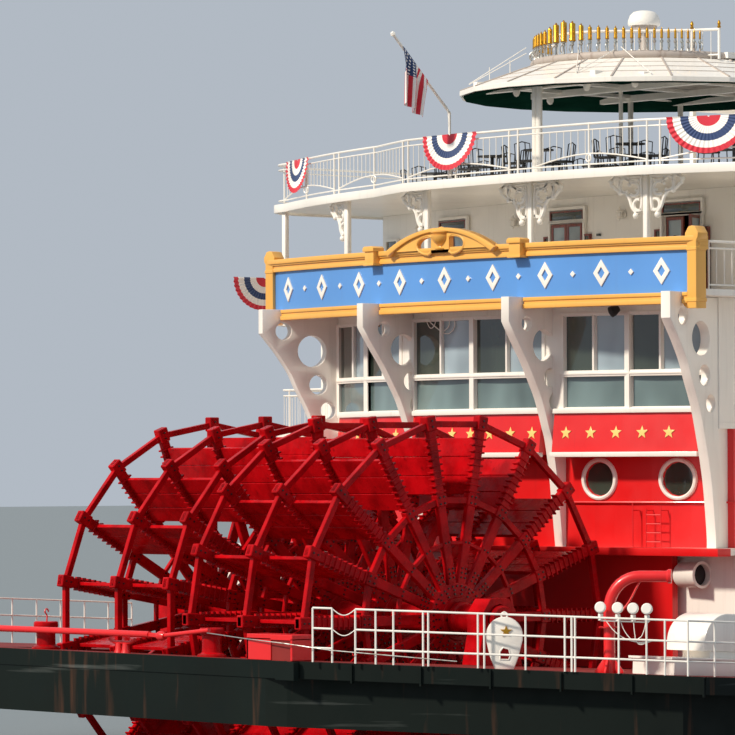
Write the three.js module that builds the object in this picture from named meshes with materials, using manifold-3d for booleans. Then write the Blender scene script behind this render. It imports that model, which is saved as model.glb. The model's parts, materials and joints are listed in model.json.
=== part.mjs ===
// A sternwheel paddle boat as a one-tenth scale model, in millimetres: 100 mm here is 1 m of the real boat.
// +X points to the bow, +Y to port and +Z up; the origin is on the floor under the middle of the boat.
// Astern a split paddlewheel turns in a slot of the fantail. Behind it stand a bowed red and white stern
// house with four pierced fins, a name board left blank, open promenades on columns and a round canopy.
import * as THREE from "three";
import { mergeVertices } from "three/addons/utils/BufferGeometryUtils.js";
import Module from "manifold-3d";

const wasm = await Module();
wasm.setup();

// Driving dimensions
const HALF_LENGTH = 6370;
const HALF_BEAM = 1360;
const GAP = 0.3; // between solids that touch
const AXLE_X = -HALF_LENGTH + 650;
const AXLE_Z = 605;
const DECK_THICK = 14;
const FANTAIL_DECK = 540; // top faces of the decks
const MAIN_DECK = 450;
const BOW_DECK = 600;
const CABIN_DECK = 752;
const OBSERVATION_DECK = 1030;
const TEXAS_DECK = 1320;
const PROMENADE_DECK = 1610;
const SUN_DECK = 1900;
const RAIL_HEIGHT = 107;
const SLOT_AFT = AXLE_X - 530; // the opening of the fantail that the wheel turns in
const SLOT_FORE = AXLE_X + 510;
const SLOT_HALF = 500;
const UPPER_WALL_X = AXLE_X + 430; // aftmost points of the bowed stern house's two walls
const LOWER_WALL_X = AXLE_X + 474;
const STERN_RADIUS = 1600;
const STERN_HALF = 657;
const ARC_STEPS = 14; // straight stretches of every bowed wall
const WIDE_AFT = AXLE_X + 840; // where the houses widen to the full beam
const BOARD_X = AXLE_X + 340; // aftmost point of the name board's frame
const BOARD_RADIUS = 3100;
const BOARD_HALF = 732;

// Plain colours, as seen in daylight
const paint = (color, roughness = 0.45, metalness = 0) =>
  new THREE.MeshStandardMaterial({ color, roughness, metalness });
const WHITE = paint("#efece4");
const RED = paint("#c8161c", 0.4);
const WHEEL_RED = paint("#b3121b", 0.35);
const HULL_BLACK = paint("#222825", 0.5);
const BLUE = paint("#4f86c6", 0.4);
const AMBER = paint("#e2ac4d", 0.4);
const BRASS = paint("#c9962f", 0.3, 1);
const WOOD = paint("#6b2f1c", 0.5);
const STACK_BLACK = paint("#17181a", 0.4);
const CLOTH = paint("#d9d3cf", 0.9);

const model = new THREE.Group();

// A closed geometry as a solid that can be joined and cut.
function solid(geometry) {
  const bare = geometry.clone();
  for (const name of Object.keys(bare.attributes)) {
    if (name !== "position") bare.deleteAttribute(name);
  }
  const merged = mergeVertices(bare, 1e-3);
  const vertProperties = new Float32Array(merged.attributes.position.array);
  const triVerts = new Uint32Array(merged.index.array);
  return new wasm.Manifold(new wasm.Mesh({ numProp: 3, vertProperties, triVerts }));
}

function geometryOf(made) {
  const mesh = made.getMesh();
  const geometry = new THREE.BufferGeometry();
  geometry.setAttribute("position", new THREE.BufferAttribute(mesh.vertProperties, 3));
  geometry.setIndex(new THREE.BufferAttribute(mesh.triVerts, 1));
  return geometry;
}

const join = (pieces) => geometryOf(pieces.map(solid).reduce((a, b) => a.add(b)));
const cut = (body, tools) => geometryOf(tools.map(solid).reduce((a, b) => a.subtract(b), solid(body)));
const common = (a, b) => geometryOf(solid(a).intersect(solid(b)));

function add(name, geometry, material) {
  const mesh = new THREE.Mesh(geometry, material);
  mesh.name = name;
  model.add(mesh);
}

// A box between two corners.
function box(x0, x1, y0, y1, z0, z1) {
  const made = new THREE.BoxGeometry(x1 - x0, y1 - y0, z1 - z0);
  return made.translate((x0 + x1) / 2, (y0 + y1) / 2, (z0 + z1) / 2);
}

const shapeOf = (points) => new THREE.Shape(points.map(([x, y]) => new THREE.Vector2(x, y)));
const holeOf = (points) => new THREE.Path(points.map(([x, y]) => new THREE.Vector2(x, y)));
const mirrored = (points) => [...points, ...points.map(([x, y]) => [x, -y]).reverse()];

// A shape drawn in plan (x, y), raised from z0 to z1.
function plan(shape, z0, z1) {
  return new THREE.ExtrudeGeometry(shape, { depth: z1 - z0, bevelEnabled: false }).translate(0, 0, z0);
}

// A shape drawn in elevation (x, z), from y0 to y1.
function elevation(shape, y0, y1) {
  const made = new THREE.ExtrudeGeometry(shape, { depth: y1 - y0, bevelEnabled: false });
  return made.rotateX(Math.PI / 2).translate(0, y1, 0);
}

function circle(x, y, radius, sides) {
  return Array.from({ length: sides }, (_, i) => {
    const a = (2 * Math.PI * i) / sides;
    return [x + radius * Math.cos(a), y + radius * Math.sin(a)];
  });
}

function post(x, y, z0, z1, radius, sides = 8) {
  return plan(shapeOf(circle(x, y, radius, sides)), z0, z1);
}

// A straight square bar between two points.
function bar(from, to, width) {
  const a = new THREE.Vector3(...from);
  const b = new THREE.Vector3(...to);
  const made = new THREE.BoxGeometry(width, width, a.distanceTo(b));
  const along = b.clone().sub(a).normalize();
  made.applyQuaternion(new THREE.Quaternion().setFromUnitVectors(new THREE.Vector3(0, 0, 1), along));
  const middle = a.add(b).multiplyScalar(0.5);
  return made.translate(middle.x, middle.y, middle.z);
}

function lathe(profile, sides, x, y) {
  const made = new THREE.LatheGeometry(profile.map(([r, z]) => new THREE.Vector2(r, z)), sides);
  return made.rotateX(Math.PI / 2).translate(x, y, 0);
}

// Points of an athwartships arc from y0 to y1, aftmost at (x, 0).
function arc(x, radius, y0, y1, steps) {
  return Array.from({ length: steps + 1 }, (_, i) => {
    const y = y0 + ((y1 - y0) * i) / steps;
    return [x + radius - Math.sqrt(radius * radius - y * y), y];
  });
}

// A wall bowed in plan, from one side to the other.
function bowedWall(x, radius, thick, half, z0, z1, steps) {
  const outer = arc(x, radius, -half, half, steps);
  const inner = arc(x + thick, radius, half, -half, steps);
  return plan(shapeOf([...outer, ...inner].reverse()), z0, z1);
}

// How much further forward a deck's bowed edge runs outside its shoulders.
function shift(shoulder, y) {
  return shoulder ? shoulder.deep * THREE.MathUtils.clamp((y - shoulder.from) / (shoulder.to - shoulder.from), 0, 1) : 0;
}

// Outline of a deck: bowed astern, straight sides, an elliptic front.
function deckOutline({ aft, radius, half, corner, fore, nose, shoulder }, inset = 0) {
  const side = half - inset;
  const stern = arc(aft + inset, radius, 0, half - corner, shoulder ? 6 : 4).map(([x, y]) => [x + shift(shoulder, y), y]);
  const [x, y] = stern[stern.length - 1];
  const bend = x + ((side - y) * y) / Math.sqrt(radius * radius - y * y);
  stern.push([bend * 0.6 + x * 0.4, y * 0.35 + side * 0.65], [bend + corner, side]);
  const front = Array.from({ length: 7 }, (_, i) => {
    const a = (Math.PI / 2) * (1 - i / 6);
    return [fore - nose + (nose - inset) * Math.cos(a), side * Math.sin(a)];
  });
  const upper = [...stern, ...front];
  return [...upper, ...upper.slice(1, -1).map(([a, b]) => [a, -b]).reverse()].reverse();
}

// Decks: where each starts and ends, and how it is rounded
const DECKS = {
  cabin: { aft: WIDE_AFT, radius: 9000, half: 1340, corner: 60, fore: 4700, nose: 900 },
  observation: { aft: WIDE_AFT, radius: 9000, half: 1340, corner: 60, fore: 4600, nose: 900 },
  texas: { aft: WIDE_AFT, radius: 9000, half: 1340, corner: 60, fore: 4500, nose: 900 },
  promenade: {
    aft: AXLE_X + 540, radius: 2700, half: 1340, corner: 130, fore: 4300, nose: 900,
    shoulder: { from: 404, to: 605, deep: 45 },
  },
};
// Houses: inset of the side walls and the ends of the house
const HOUSES = {
  main: { aft: AXLE_X + 532, radius: 9000, half: 1250, corner: 60, fore: 4450, nose: 900 },
  cabin: { aft: WIDE_AFT + 20, radius: 9000, half: 1190, corner: 60, fore: 4350, nose: 800 },
  observation: { aft: WIDE_AFT + 20, radius: 9000, half: 1160, corner: 60, fore: 4200, nose: 800 },
  texas: { aft: AXLE_X + 1110, radius: 5000, half: 1090, corner: 60, fore: 4050, nose: 800 },
  promenade: { aft: -3600, radius: 9000, half: 820, corner: 60, fore: 3700, nose: 700 },
};
const WALL = 14;

// Height of the main deck along the boat: it rises to the transom and to the bow.
const FANTAIL_FALL = 0.05; // how much the fantail's deck falls per length forward
const SHEER = [
  [-HALF_LENGTH, FANTAIL_DECK], [SLOT_FORE, FANTAIL_DECK - FANTAIL_FALL * (SLOT_FORE + HALF_LENGTH)],
  [-4300, MAIN_DECK], [3600, MAIN_DECK], [5900, BOW_DECK],
];
function sheer(x) {
  const i = SHEER.findIndex(([end]) => end >= x);
  const [[x0, z0], [x1, z1]] = [SHEER[Math.max(i, 1) - 1], SHEER[Math.max(i, 1)]];
  return z0 + ((z1 - z0) * (x - x0)) / (x1 - x0);
}
// Sinks what was made level at the transom's height along the fantail's falling deck.
const falling = new THREE.Matrix4().set(1, 0, 0, 0, 0, 1, 0, 0, -FANTAIL_FALL, 0, 1, -FANTAIL_FALL * HALF_LENGTH, 0, 0, 0, 1);
// Everything between two heights above the sheer, as a tool to cut with.
function sheerBand(low, high) {
  const top = SHEER.map(([x, z]) => [x, z + high]);
  const bottom = SHEER.map(([x, z]) => [x, z + low]).reverse();
  return elevation(shapeOf([...top, ...bottom].reverse()), -HALF_BEAM - 10, HALF_BEAM + 10);
}

// Hull: half-breadths and heights of its sections
const HULL = [
  // x, bottom height, bottom half, bilge height, bilge half, deck half
  [SLOT_FORE, 300, 1000, 340, 1180, 1260],
  [-4300, 70, 1120, 150, 1240, 1290],
  [-4020, 0, 1150, 90, 1260, 1290],
  [3600, 0, 1150, 90, 1260, 1290],
  [4600, 20, 830, 110, 1000, 1130],
  [5300, 90, 450, 190, 640, 790],
  [5720, 240, 170, 320, 280, 430],
  [5900, 400, 30, 420, 50, 120],
];
const RUDDER_X = -4830;
const RUDDER_Y = 420;
const STOCK_R = 12;

function hull() {
  const rings = HULL.map(([x, zb, yb, zc, yc, yt]) => {
    const zt = sheer(x) - DECK_THICK - GAP;
    return [[x, yt, zt], [x, yc, zc], [x, yb, zb], [x, -yb, zb], [x, -yc, zc], [x, -yt, zt]];
  });
  const positions = [];
  const face = (...corners) => corners.forEach((corner) => positions.push(...corner));
  for (let i = 0; i + 1 < rings.length; i++) {
    for (let k = 0; k < 6; k++) {
      const [a, b, c, d] = [rings[i][k], rings[i][(k + 1) % 6], rings[i + 1][k], rings[i + 1][(k + 1) % 6]];
      face(a, c, b);
      face(b, c, d);
    }
  }
  const [first, last] = [rings[0], rings[rings.length - 1]];
  for (let k = 1; k < 5; k++) {
    face(first[0], first[k], first[k + 1]);
    face(last[0], last[k + 1], last[k]);
  }
  const made = new THREE.BufferGeometry();
  made.setAttribute("position", new THREE.Float32BufferAttribute(positions, 3));
  const bores = [-1, 1].map((side) => post(RUDDER_X, side * RUDDER_Y, 100, 300, STOCK_R + 3));
  return cut(made, bores);
}
add("hull", hull(), HULL_BLACK);

// Rudders under the raked stern, one on each side
for (const [name, side] of [["port", 1], ["starboard", -1]]) {
  const blade = elevation(shapeOf([[-220, 12], [130, 12], [130, 130], [-160, 130], [-220, 100]]), -9, 9);
  const stock = post(0, 0, 120, 270, STOCK_R);
  add(`rudder_${name}`, join([blade, stock]).translate(RUDDER_X, side * RUDDER_Y, 0), HULL_BLACK);
}

// Fantail: a raised box girder and a deck plate that carry the wheel on both sides of its slot
function fantailOutline(recess) {
  const outer = [
    [SLOT_FORE - GAP, HALF_BEAM - recess],
    [AXLE_X - 180, HALF_BEAM - recess],
    [AXLE_X - 650 + recess / 3, 625 - recess / 4],
    [AXLE_X - 650, 625 - recess],
  ];
  const inner = [[SLOT_AFT, SLOT_HALF], [SLOT_FORE - GAP, SLOT_HALF]];
  const other = (points) => points.map(([x, y]) => [x, -y]).reverse();
  return shapeOf([...outer, ...other(outer), ...other(inner), ...inner].reverse());
}
const GUARD = 36;
add("fantail_girder", plan(fantailOutline(60), 405, FANTAIL_DECK - GUARD - GAP).applyMatrix4(falling), HULL_BLACK);

// Capped bollards and a roller chock stand on the deck plate
const BOLLARD_TOP = FANTAIL_DECK + 52;
function bollard(x, y) {
  const low = sheer(x) - 4;
  return [post(x, y, low, low + 10, 30, 12), post(x, y, low, BOLLARD_TOP, 19, 12), post(x, y, BOLLARD_TOP - 8, BOLLARD_TOP, 25, 12)];
}
add("fantail_deck", join([
  plan(fantailOutline(0), FANTAIL_DECK - GUARD, FANTAIL_DECK).applyMatrix4(falling),
  ...bollard(AXLE_X - 600, 253),
  ...bollard(AXLE_X - 600, -328),
  box(AXLE_X - 649, AXLE_X - 600, -650, -510, FANTAIL_DECK - 8, FANTAIL_DECK + 50),
]), RED);
add("engine_bulkhead", box(AXLE_X + 514, AXLE_X + 530, -565, 565, sheer(AXLE_X + 514) + GAP, CABIN_DECK - DECK_THICK - GAP), RED);

const MAIN_OUTLINE = mirrored([
  [SLOT_FORE, HALF_BEAM], [3600, HALF_BEAM], [4600, 1200], [5300, 850], [5720, 470], [5900, 150],
]);
add("main_deck", common(plan(shapeOf(MAIN_OUTLINE.reverse()), 400, 620), sheerBand(-DECK_THICK, 0)), RED);

// A deck slab, with the columns that carry its edge joined to it
function columns(places, z0, z1) {
  return places.map(([x, y]) => box(x - 6, x + 6, y - 6, y + 6, z0 + GAP, z1));
}
function sideColumns(from, to, count, y) {
  return Array.from({ length: count }, (_, i) => from + ((to - from) * i) / (count - 1))
    .flatMap((x) => [[x, y], [x, -y]]);
}
function slab(outline, top) {
  return plan(shapeOf(outline), top - DECK_THICK, top);
}
function tongue(x, radius, half, top) {
  return slab([...arc(x, radius, -half, half, ARC_STEPS), [WIDE_AFT + 100, half], [WIDE_AFT + 100, -half]], top);
}
const COLUMN_Y = 1300;
const MAIN_COLUMNS = sideColumns(-4600, 3500, 10, COLUMN_Y);
add("cabin_deck", join([
  slab(deckOutline(DECKS.cabin), CABIN_DECK),
  tongue(AXLE_X + 440, 8000, 745, CABIN_DECK),
]), WHITE);
add("observation_deck", join([
  slab(deckOutline(DECKS.observation), OBSERVATION_DECK),
  tongue(UPPER_WALL_X, STERN_RADIUS, STERN_HALF, OBSERVATION_DECK),
  ...columns(MAIN_COLUMNS, CABIN_DECK, OBSERVATION_DECK - 5),
]), WHITE);
add("texas_deck", join([
  slab(deckOutline(DECKS.texas), TEXAS_DECK),
  tongue(BOARD_X + 30, BOARD_RADIUS, 730, TEXAS_DECK),
  ...columns(MAIN_COLUMNS, OBSERVATION_DECK, TEXAS_DECK - 5),
]), WHITE);
const STERN_COLUMNS = [[615, 0], [625, 375], [625, -375], [735, 800], [735, -800], [890, 1230], [890, -1230]];
add("promenade_deck", join([
  slab(deckOutline(DECKS.promenade), PROMENADE_DECK),
  ...columns([...STERN_COLUMNS.map(([x, y]) => [AXLE_X + x, y]), ...MAIN_COLUMNS.slice(2)], TEXAS_DECK, PROMENADE_DECK - 5),
]), WHITE);

// Houses: hollow walls between two decks
function house(name, z0, z1, tools = [], altered = (outline) => outline) {
  const outline = HOUSES[name];
  const shape = shapeOf(altered(deckOutline(outline), 0));
  shape.holes.push(holeOf(altered(deckOutline(outline, WALL), WALL)));
  const walls = plan(shape, z0 + GAP, z1 - DECK_THICK - GAP);
  add(`${name}_house`, tools.length ? cut(walls, tools) : walls, WHITE);
}
house("main", MAIN_DECK - 20, CABIN_DECK, [sheerBand(-150, GAP)]);
house("cabin", CABIN_DECK, OBSERVATION_DECK);
house("observation", OBSERVATION_DECK, TEXAS_DECK);
const DOOR = { y: 0, half: 62, top: TEXAS_DECK + 215 };
// The texas house takes the whole beam astern, and leaves side galleries forward of there.
const WING = { fore: AXLE_X + 1500, half: 1300 };
function withWings(outline, inset) {
  const [fore, half, side] = [WING.fore - inset, WING.half - inset, HOUSES.texas.half - inset];
  const stern = arc(HOUSES.texas.aft + inset, HOUSES.texas.radius, half, -half, 8);
  return [...stern, [fore, -half], [fore, -side], ...outline.filter(([x]) => x > fore), [fore, side], [fore, half]];
}
house("texas", TEXAS_DECK, PROMENADE_DECK, [
  box(AXLE_X + 1000, AXLE_X + 1160, -DOOR.half, DOOR.half, TEXAS_DECK, DOOR.top),
], withWings);
house("promenade", PROMENADE_DECK, SUN_DECK);

// Stern double doors, hinged on their outer edges; the starboard leaf stands open
const HINGE = { x: HOUSES.texas.aft + 2, y: DOOR.half - 1.5 };
for (const [name, side, open] of [["port", 1, 0], ["starboard", -1, 110]]) {
  const leaf = box(0, 6, ...[0, side * (1.5 - HINGE.y)].sort((a, b) => a - b), TEXAS_DECK + 3, DOOR.top - 2);
  leaf.rotateZ(THREE.MathUtils.degToRad(-side * open));
  add(`door_leaf_${name}`, leaf.translate(HINGE.x, side * HINGE.y, 0), WOOD);
}

// Stern house: the bowed aft end of two decks, the lower one recessed, with portholes and tall windows
function sternWalls(x, z0, z1) {
  const outer = arc(x, STERN_RADIUS, -STERN_HALF, STERN_HALF, ARC_STEPS);
  const inner = arc(x + WALL, STERN_RADIUS, -STERN_HALF + WALL, STERN_HALF - WALL, ARC_STEPS);
  const end = WIDE_AFT + 18;
  const shape = shapeOf([
    [end, -STERN_HALF], ...outer, [end, STERN_HALF],
    [end, STERN_HALF - WALL], ...inner.reverse(), [end, -STERN_HALF + WALL],
  ].reverse());
  return plan(shape, z0 + GAP, z1 - DECK_THICK - GAP);
}
const WINDOW_COLUMNS = [[-222, -8], [8, 222], [279, 440], [455, 628], [-440, -279], [-628, -455]];
const WINDOW_ROWS = [[1067, 1135], [1149, 1271]];
const windows = WINDOW_COLUMNS.flatMap(([y0, y1]) =>
  WINDOW_ROWS.map(([z0, z1]) => box(UPPER_WALL_X - 20, UPPER_WALL_X + 260, y0, y1, z0, z1)));
const PORTHOLES = [0, 337, 532, -337, -532];
const portholes = PORTHOLES.map((y) =>
  plan(shapeOf(circle(0, 0, 38, 12)), 0, 260).rotateY(Math.PI / 2).translate(LOWER_WALL_X - 20, y, AXLE_Z + 300));

// The space behind one of the two bowed walls, which pieces outside it keep clear of
function sternSpace(x, z0, z1) {
  const front = arc(x - GAP, STERN_RADIUS, -STERN_HALF, STERN_HALF, ARC_STEPS);
  const half = STERN_HALF + 2;
  const shape = shapeOf([[WIDE_AFT, -half], [front[0][0], -half], ...front, [front[0][0], half], [WIDE_AFT, half]].reverse());
  return plan(shape, z0, z1);
}
const MIDDLE = OBSERVATION_DECK - DECK_THICK - GAP; // where the lower wall ends and the upper one's deck begins
const sternSpaces = [sternSpace(LOWER_WALL_X, 700, MIDDLE), sternSpace(UPPER_WALL_X, MIDDLE, 1310)];

// Red band for the stars between the fins: it leans out over the lower wall and hides the middle deck's edge
const BAND = { x: AXLE_X + 417, low: AXLE_Z + 355, high: AXLE_Z + 455, lean: 0.11 };
const BAND_BAYS = [[-617, -256], [-220, 220], [256, 617]];
const leaning = new THREE.Matrix4().set(1, 0, BAND.lean, -BAND.lean * BAND.low, 0, 1, 0, 0, 0, 0, 1, 0, 0, 0, 0, 1);
const bands = BAND_BAYS.map(([y0, y1]) => {
  const outer = arc(BAND.x, STERN_RADIUS, y0, y1, 4);
  const inner = arc(LOWER_WALL_X + 4, STERN_RADIUS, y0, y1, 4);
  const body = plan(shapeOf([...outer, ...inner.reverse()].reverse()), BAND.low, BAND.high).applyMatrix4(leaning);
  return cut(body, [sternSpaces[1]]);
});
add("stern_wall_lower", join([cut(sternWalls(LOWER_WALL_X, CABIN_DECK, OBSERVATION_DECK), portholes), ...bands]), RED);
add("stern_wall_upper", cut(sternWalls(UPPER_WALL_X, OBSERVATION_DECK, TEXAS_DECK), windows), WHITE);

// Fins: knee brackets with round holes, from the cabin deck up to the name board, square to the promenade's curve
const FIN_THICK = 24;
// Each kind's head and, measured forward from there along the fin and up from the axle, its aft edge and its holes
const FINS = {
  outer: {
    x: 369, y: 695, rear: 262,
    edge: [[0, 651], [37, 608], [91, 520], [132, 440], [160, 360], [178, 280], [193, 147 + GAP]],
    holes: [[56, 657, 21], [132, 609, 38], [148, 528, 23.5], [174, 466, 20]],
  },
  inner: {
    x: 303, y: 250, rear: 215,
    edge: [[0, 654], [41, 593], [86, 523], [120, 455], [144, 387], [161, 290], [179, 147 + GAP]],
    holes: [[61, 650, 17], [117, 602, 36], [139, 529, 21], [154, 475, 18.5]],
  },
};
const FIN_HEAD = { top: 709, low: 700, deep: 64 }; // it ends inside the name board's frame
const boardSpace = bowedWall(BOARD_X - GAP, BOARD_RADIUS, 26 + 2 * GAP, BOARD_HALF, 1287, 1500, ARC_STEPS);
function fin({ x, y, rear, edge, holes }, side) {
  const curve = new THREE.SplineCurve(edge.map(([d, z]) => new THREE.Vector2(d, z)));
  const aft = [[0, FIN_HEAD.top], ...curve.getPoints(12).map((p) => [p.x, p.y])];
  const back = [[rear, 147 + GAP], [rear, FIN_HEAD.low], [FIN_HEAD.deep, FIN_HEAD.low], [FIN_HEAD.deep, FIN_HEAD.top]];
  const shape = shapeOf([...aft, ...back].reverse());
  for (const [d, z, r] of holes) shape.holes.push(holeOf(circle(d, z, r, 12)));
  const turn = Math.asin(y / DECKS.promenade.radius);
  const body = elevation(shape, -FIN_THICK / 2, FIN_THICK / 2).rotateZ(-side * turn).translate(AXLE_X + x, side * y, AXLE_Z);
  return cut(body, [...sternSpaces, boardSpace]);
}
for (const [name, side] of [["port", 1], ["starboard", -1]]) {
  for (const kind of ["outer", "inner"]) add(`fin_${name}_${kind}`, fin(FINS[kind], side), WHITE);
}

// Name board, left blank, and its frame with an arched pediment
const BOARD = { low: AXLE_Z + 683, high: AXLE_Z + 827 };
const pediment = elevation(
  shapeOf([...circle(0, 0, 1, 24)].slice(0, 13).map(([x, z]) => [x * 190, BOARD.high - 6 + z * 52])), 0, 14,
).rotateZ(Math.PI / 2).translate(BOARD_X + 20, 0, 0);
add("board_frame", join([
  bowedWall(BOARD_X, BOARD_RADIUS, 26, BOARD_HALF, BOARD.low, BOARD.low + 24, ARC_STEPS),
  bowedWall(BOARD_X, BOARD_RADIUS, 26, BOARD_HALF, BOARD.high - 20, BOARD.high, ARC_STEPS),
  ...[-1, 1].map((side) => box(AXLE_X + 420, AXLE_X + 451, side * 724 - 14, side * 724 + 14, BOARD.low, BOARD.high + 8)),
  pediment,
]), AMBER);
add("name_board", bowedWall(BOARD_X + 6, BOARD_RADIUS, 14, 708, BOARD.low + 24 + GAP, BOARD.high - 20 - GAP, ARC_STEPS), BLUE);

// Paddlewheel: two halves of three spiders each, half a step apart, with bucket planks on the arms
const ARMS = 18;
const STEP = (2 * Math.PI) / ARMS;
const RIM = [418, 436]; // vertex radii of the outer ring
const HOOP = [252, 268]; // vertex radii of the inner ring
const SMALL_HOOP = [163, 171];
const TIP = { radius: 444, half: 13 }; // ends of the arms, past the outer ring
const HUB_R = 78;
const SHAFT_R = 32;
const BORE_R = (SHAFT_R + GAP) / Math.cos(Math.PI / 12); // its flats clear the shaft's corners
const ARM_HALF = 11;
const SPIDER_Y = [[39, true], [227, false], [420, true]]; // distance from the centreline, with a hoop or not
const SPIDER_THICK = 14;
const polar = (radius, angle) => [radius * Math.cos(angle), radius * Math.sin(angle)];
const turned = ([x, y], a) => [x * Math.cos(a) - y * Math.sin(a), x * Math.sin(a) + y * Math.cos(a)];
const tip = [-1, 1].flatMap((side) => {
  const foot = [RIM[1] - TIP.half * Math.tan(STEP / 2), side * TIP.half];
  const end = [TIP.radius, side * TIP.half];
  return side < 0 ? [foot, end] : [end, foot];
});
const rimCorners = Array.from({ length: ARMS }, (_, i) => tip.map((corner) => turned(corner, i * STEP))).flat();

// One opening between two arms, from one ring to the next: the apothem line of a ring meets the arm's side.
function opening(inner, outer, angle) {
  const at = (radius, side) => {
    const apothem = radius * Math.cos(STEP / 2);
    const tilt = STEP / 2;
    const along = (apothem - ARM_HALF * Math.sin(tilt)) / Math.cos(tilt);
    const [x, y] = [along, ARM_HALF];
    const turn = side < 0 ? angle : angle + STEP;
    const s = side < 0 ? y : -y;
    return [x * Math.cos(turn) - s * Math.sin(turn), x * Math.sin(turn) + s * Math.cos(turn)];
  };
  return [at(inner, -1), at(outer, -1), at(outer, 1), at(inner, 1)];
}

function spider(y, hoop) {
  const shape = shapeOf(rimCorners);
  shape.holes.push(holeOf(circle(0, 0, BORE_R, 12)));
  for (let i = 0; i < ARMS; i++) {
    const angle = i * STEP;
    const rows = hoop ? [[HUB_R, SMALL_HOOP[0]], [SMALL_HOOP[1], HOOP[0]], [HOOP[1], RIM[0]]] : [[HUB_R, RIM[0]]];
    for (const [inner, outer] of rows) shape.holes.push(holeOf(opening(inner, outer, angle)));
  }
  return elevation(shape, y - SPIDER_THICK / 2, y + SPIDER_THICK / 2);
}

function wheelHalf(name, side, turn) {
  const spiders = SPIDER_Y.map(([y, hoop]) => spider(side * y, hoop));
  const buckets = Array.from({ length: ARMS }, (_, i) => {
    const width = SPIDER_Y[2][0] - SPIDER_Y[0][0] + SPIDER_THICK - 4;
    const plank = new THREE.BoxGeometry(125, width, 8);
    plank.translate(335, side * (SPIDER_Y[0][0] + SPIDER_Y[2][0]) / 2, 0);
    return plank.rotateY(-i * STEP);
  });
  add(name, join([...spiders, ...buckets]).rotateY(turn).translate(AXLE_X, 0, AXLE_Z), WHEEL_RED);
}
wheelHalf("wheel_half_port", 1, STEP / 2);
wheelHalf("wheel_half_starboard", -1, 0);
const SHAFT_HALF = 575;
add("wheel_shaft", plan(shapeOf(circle(0, 0, SHAFT_R, 12)), -SHAFT_HALF, SHAFT_HALF)
  .rotateX(-Math.PI / 2).translate(AXLE_X, 0, AXLE_Z), WHEEL_RED);
const footOf = (x) => [x, sheer(AXLE_X + x) + GAP - AXLE_Z];
for (const [name, side] of [["port", 1], ["starboard", -1]]) {
  const block = shapeOf([footOf(-64), footOf(64), [50, -30], [46, 20], [26, 46], [-26, 46], [-46, 20], [-50, -30]]);
  block.holes.push(holeOf(circle(0, 0, SHAFT_R + 3, 12)));
  add(`wheel_bearing_${name}`, elevation(block, -25, 25).translate(AXLE_X, side * 538, AXLE_Z), RED);
}

// Canopy over the aft promenade: a low cone in twenty panels on posts, flat where it carries the whistles
const CANOPY_X = AXLE_X + 983;
const CANOPY = { radius: 442, eave: AXLE_Z + 1208, rim: 12, crown: 285, top: AXLE_Z + 1276 - GAP, panels: 20 };
const canopyDish = lathe([[0, CANOPY.eave + 30], [300, CANOPY.eave + 30], [CANOPY.radius - 6, CANOPY.eave],
  [CANOPY.radius, CANOPY.eave], [CANOPY.radius, CANOPY.eave + CANOPY.rim], [CANOPY.crown, CANOPY.top],
  [0, CANOPY.top]], CANOPY.panels, CANOPY_X, 0);
const CANOPY_POSTS = [[635, -7], [635, 7], [905, 0], [1130, 200], [1130, -200], [1300, 200], [1300, -200]];
const canopyPosts = CANOPY_POSTS.map(([x, y]) => post(AXLE_X + x, y, PROMENADE_DECK + GAP, CANOPY.eave + 31, 6));
add("canopy", join([canopyDish, ...canopyPosts]), WHITE);

// Sun deck: round over the canopy, wide over the promenade house, with the plinths of the stacks
const DRUM_R = 245;
const STACK = { x: 2350, y: 430, base: SUN_DECK + 110, top: 3400, radius: 45 };
add("sun_deck", join([
  slab(deckOutline({ aft: -4050, radius: 6000, half: 900, corner: 100, fore: 3900, nose: 700 }), SUN_DECK),
  plan(shapeOf(circle(CANOPY_X, 0, DRUM_R, 20)), CANOPY.top + GAP, SUN_DECK),
  plan(shapeOf([[CANOPY_X, -280], [-4000, -280], [-4000, 280], [CANOPY_X, 280]]), SUN_DECK - DECK_THICK, SUN_DECK),
  ...[-1, 1].map((side) => post(STACK.x, side * STACK.y, SUN_DECK - 4, STACK.base, STACK.radius + 8, 16)),
  ...columns([[-3980, 600], [-3980, -600]], PROMENADE_DECK, SUN_DECK - 5),
]), WHITE);

// Steam whistles on a half ring of pipe: the largest stands dead astern, and they shrink and close up to both sides
const PIPE = { radius: 262, half: 9.5, low: CANOPY.top + GAP };
const pipeArc = Array.from({ length: 17 }, (_, i) => Math.PI / 2 + (Math.PI * i) / 16);
const pipe = shapeOf([...pipeArc.map((a) => polar(PIPE.radius + PIPE.half, a)),
  ...pipeArc.map((a) => polar(PIPE.radius - PIPE.half, a)).reverse()]);
const WHISTLES = 18; // to each side of the largest
const whistles = [];
for (let i = 0, turn = 0; i <= WHISTLES; i++) {
  const [radius, tall] = [2.6 + 5.7 * Math.exp(-i / 5), 18 + 20 * Math.exp(-i / 5)];
  for (const side of i ? [-1, 1] : [1]) {
    const [x, y] = polar(PIPE.radius, Math.PI + side * turn);
    const low = PIPE.low + 2 * PIPE.half + 29;
    whistles.push(post(x, y, PIPE.low + PIPE.half, low + 1, 2, 4), post(x, y, low, low + tall, radius, 6));
  }
  turn += THREE.MathUtils.degToRad(3.2 + 2.9 * Math.exp(-i / 6));
}
add("whistles", join([plan(pipe, PIPE.low, PIPE.low + 2 * PIPE.half), ...whistles]).translate(CANOPY_X, 0, 0), BRASS);

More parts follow.
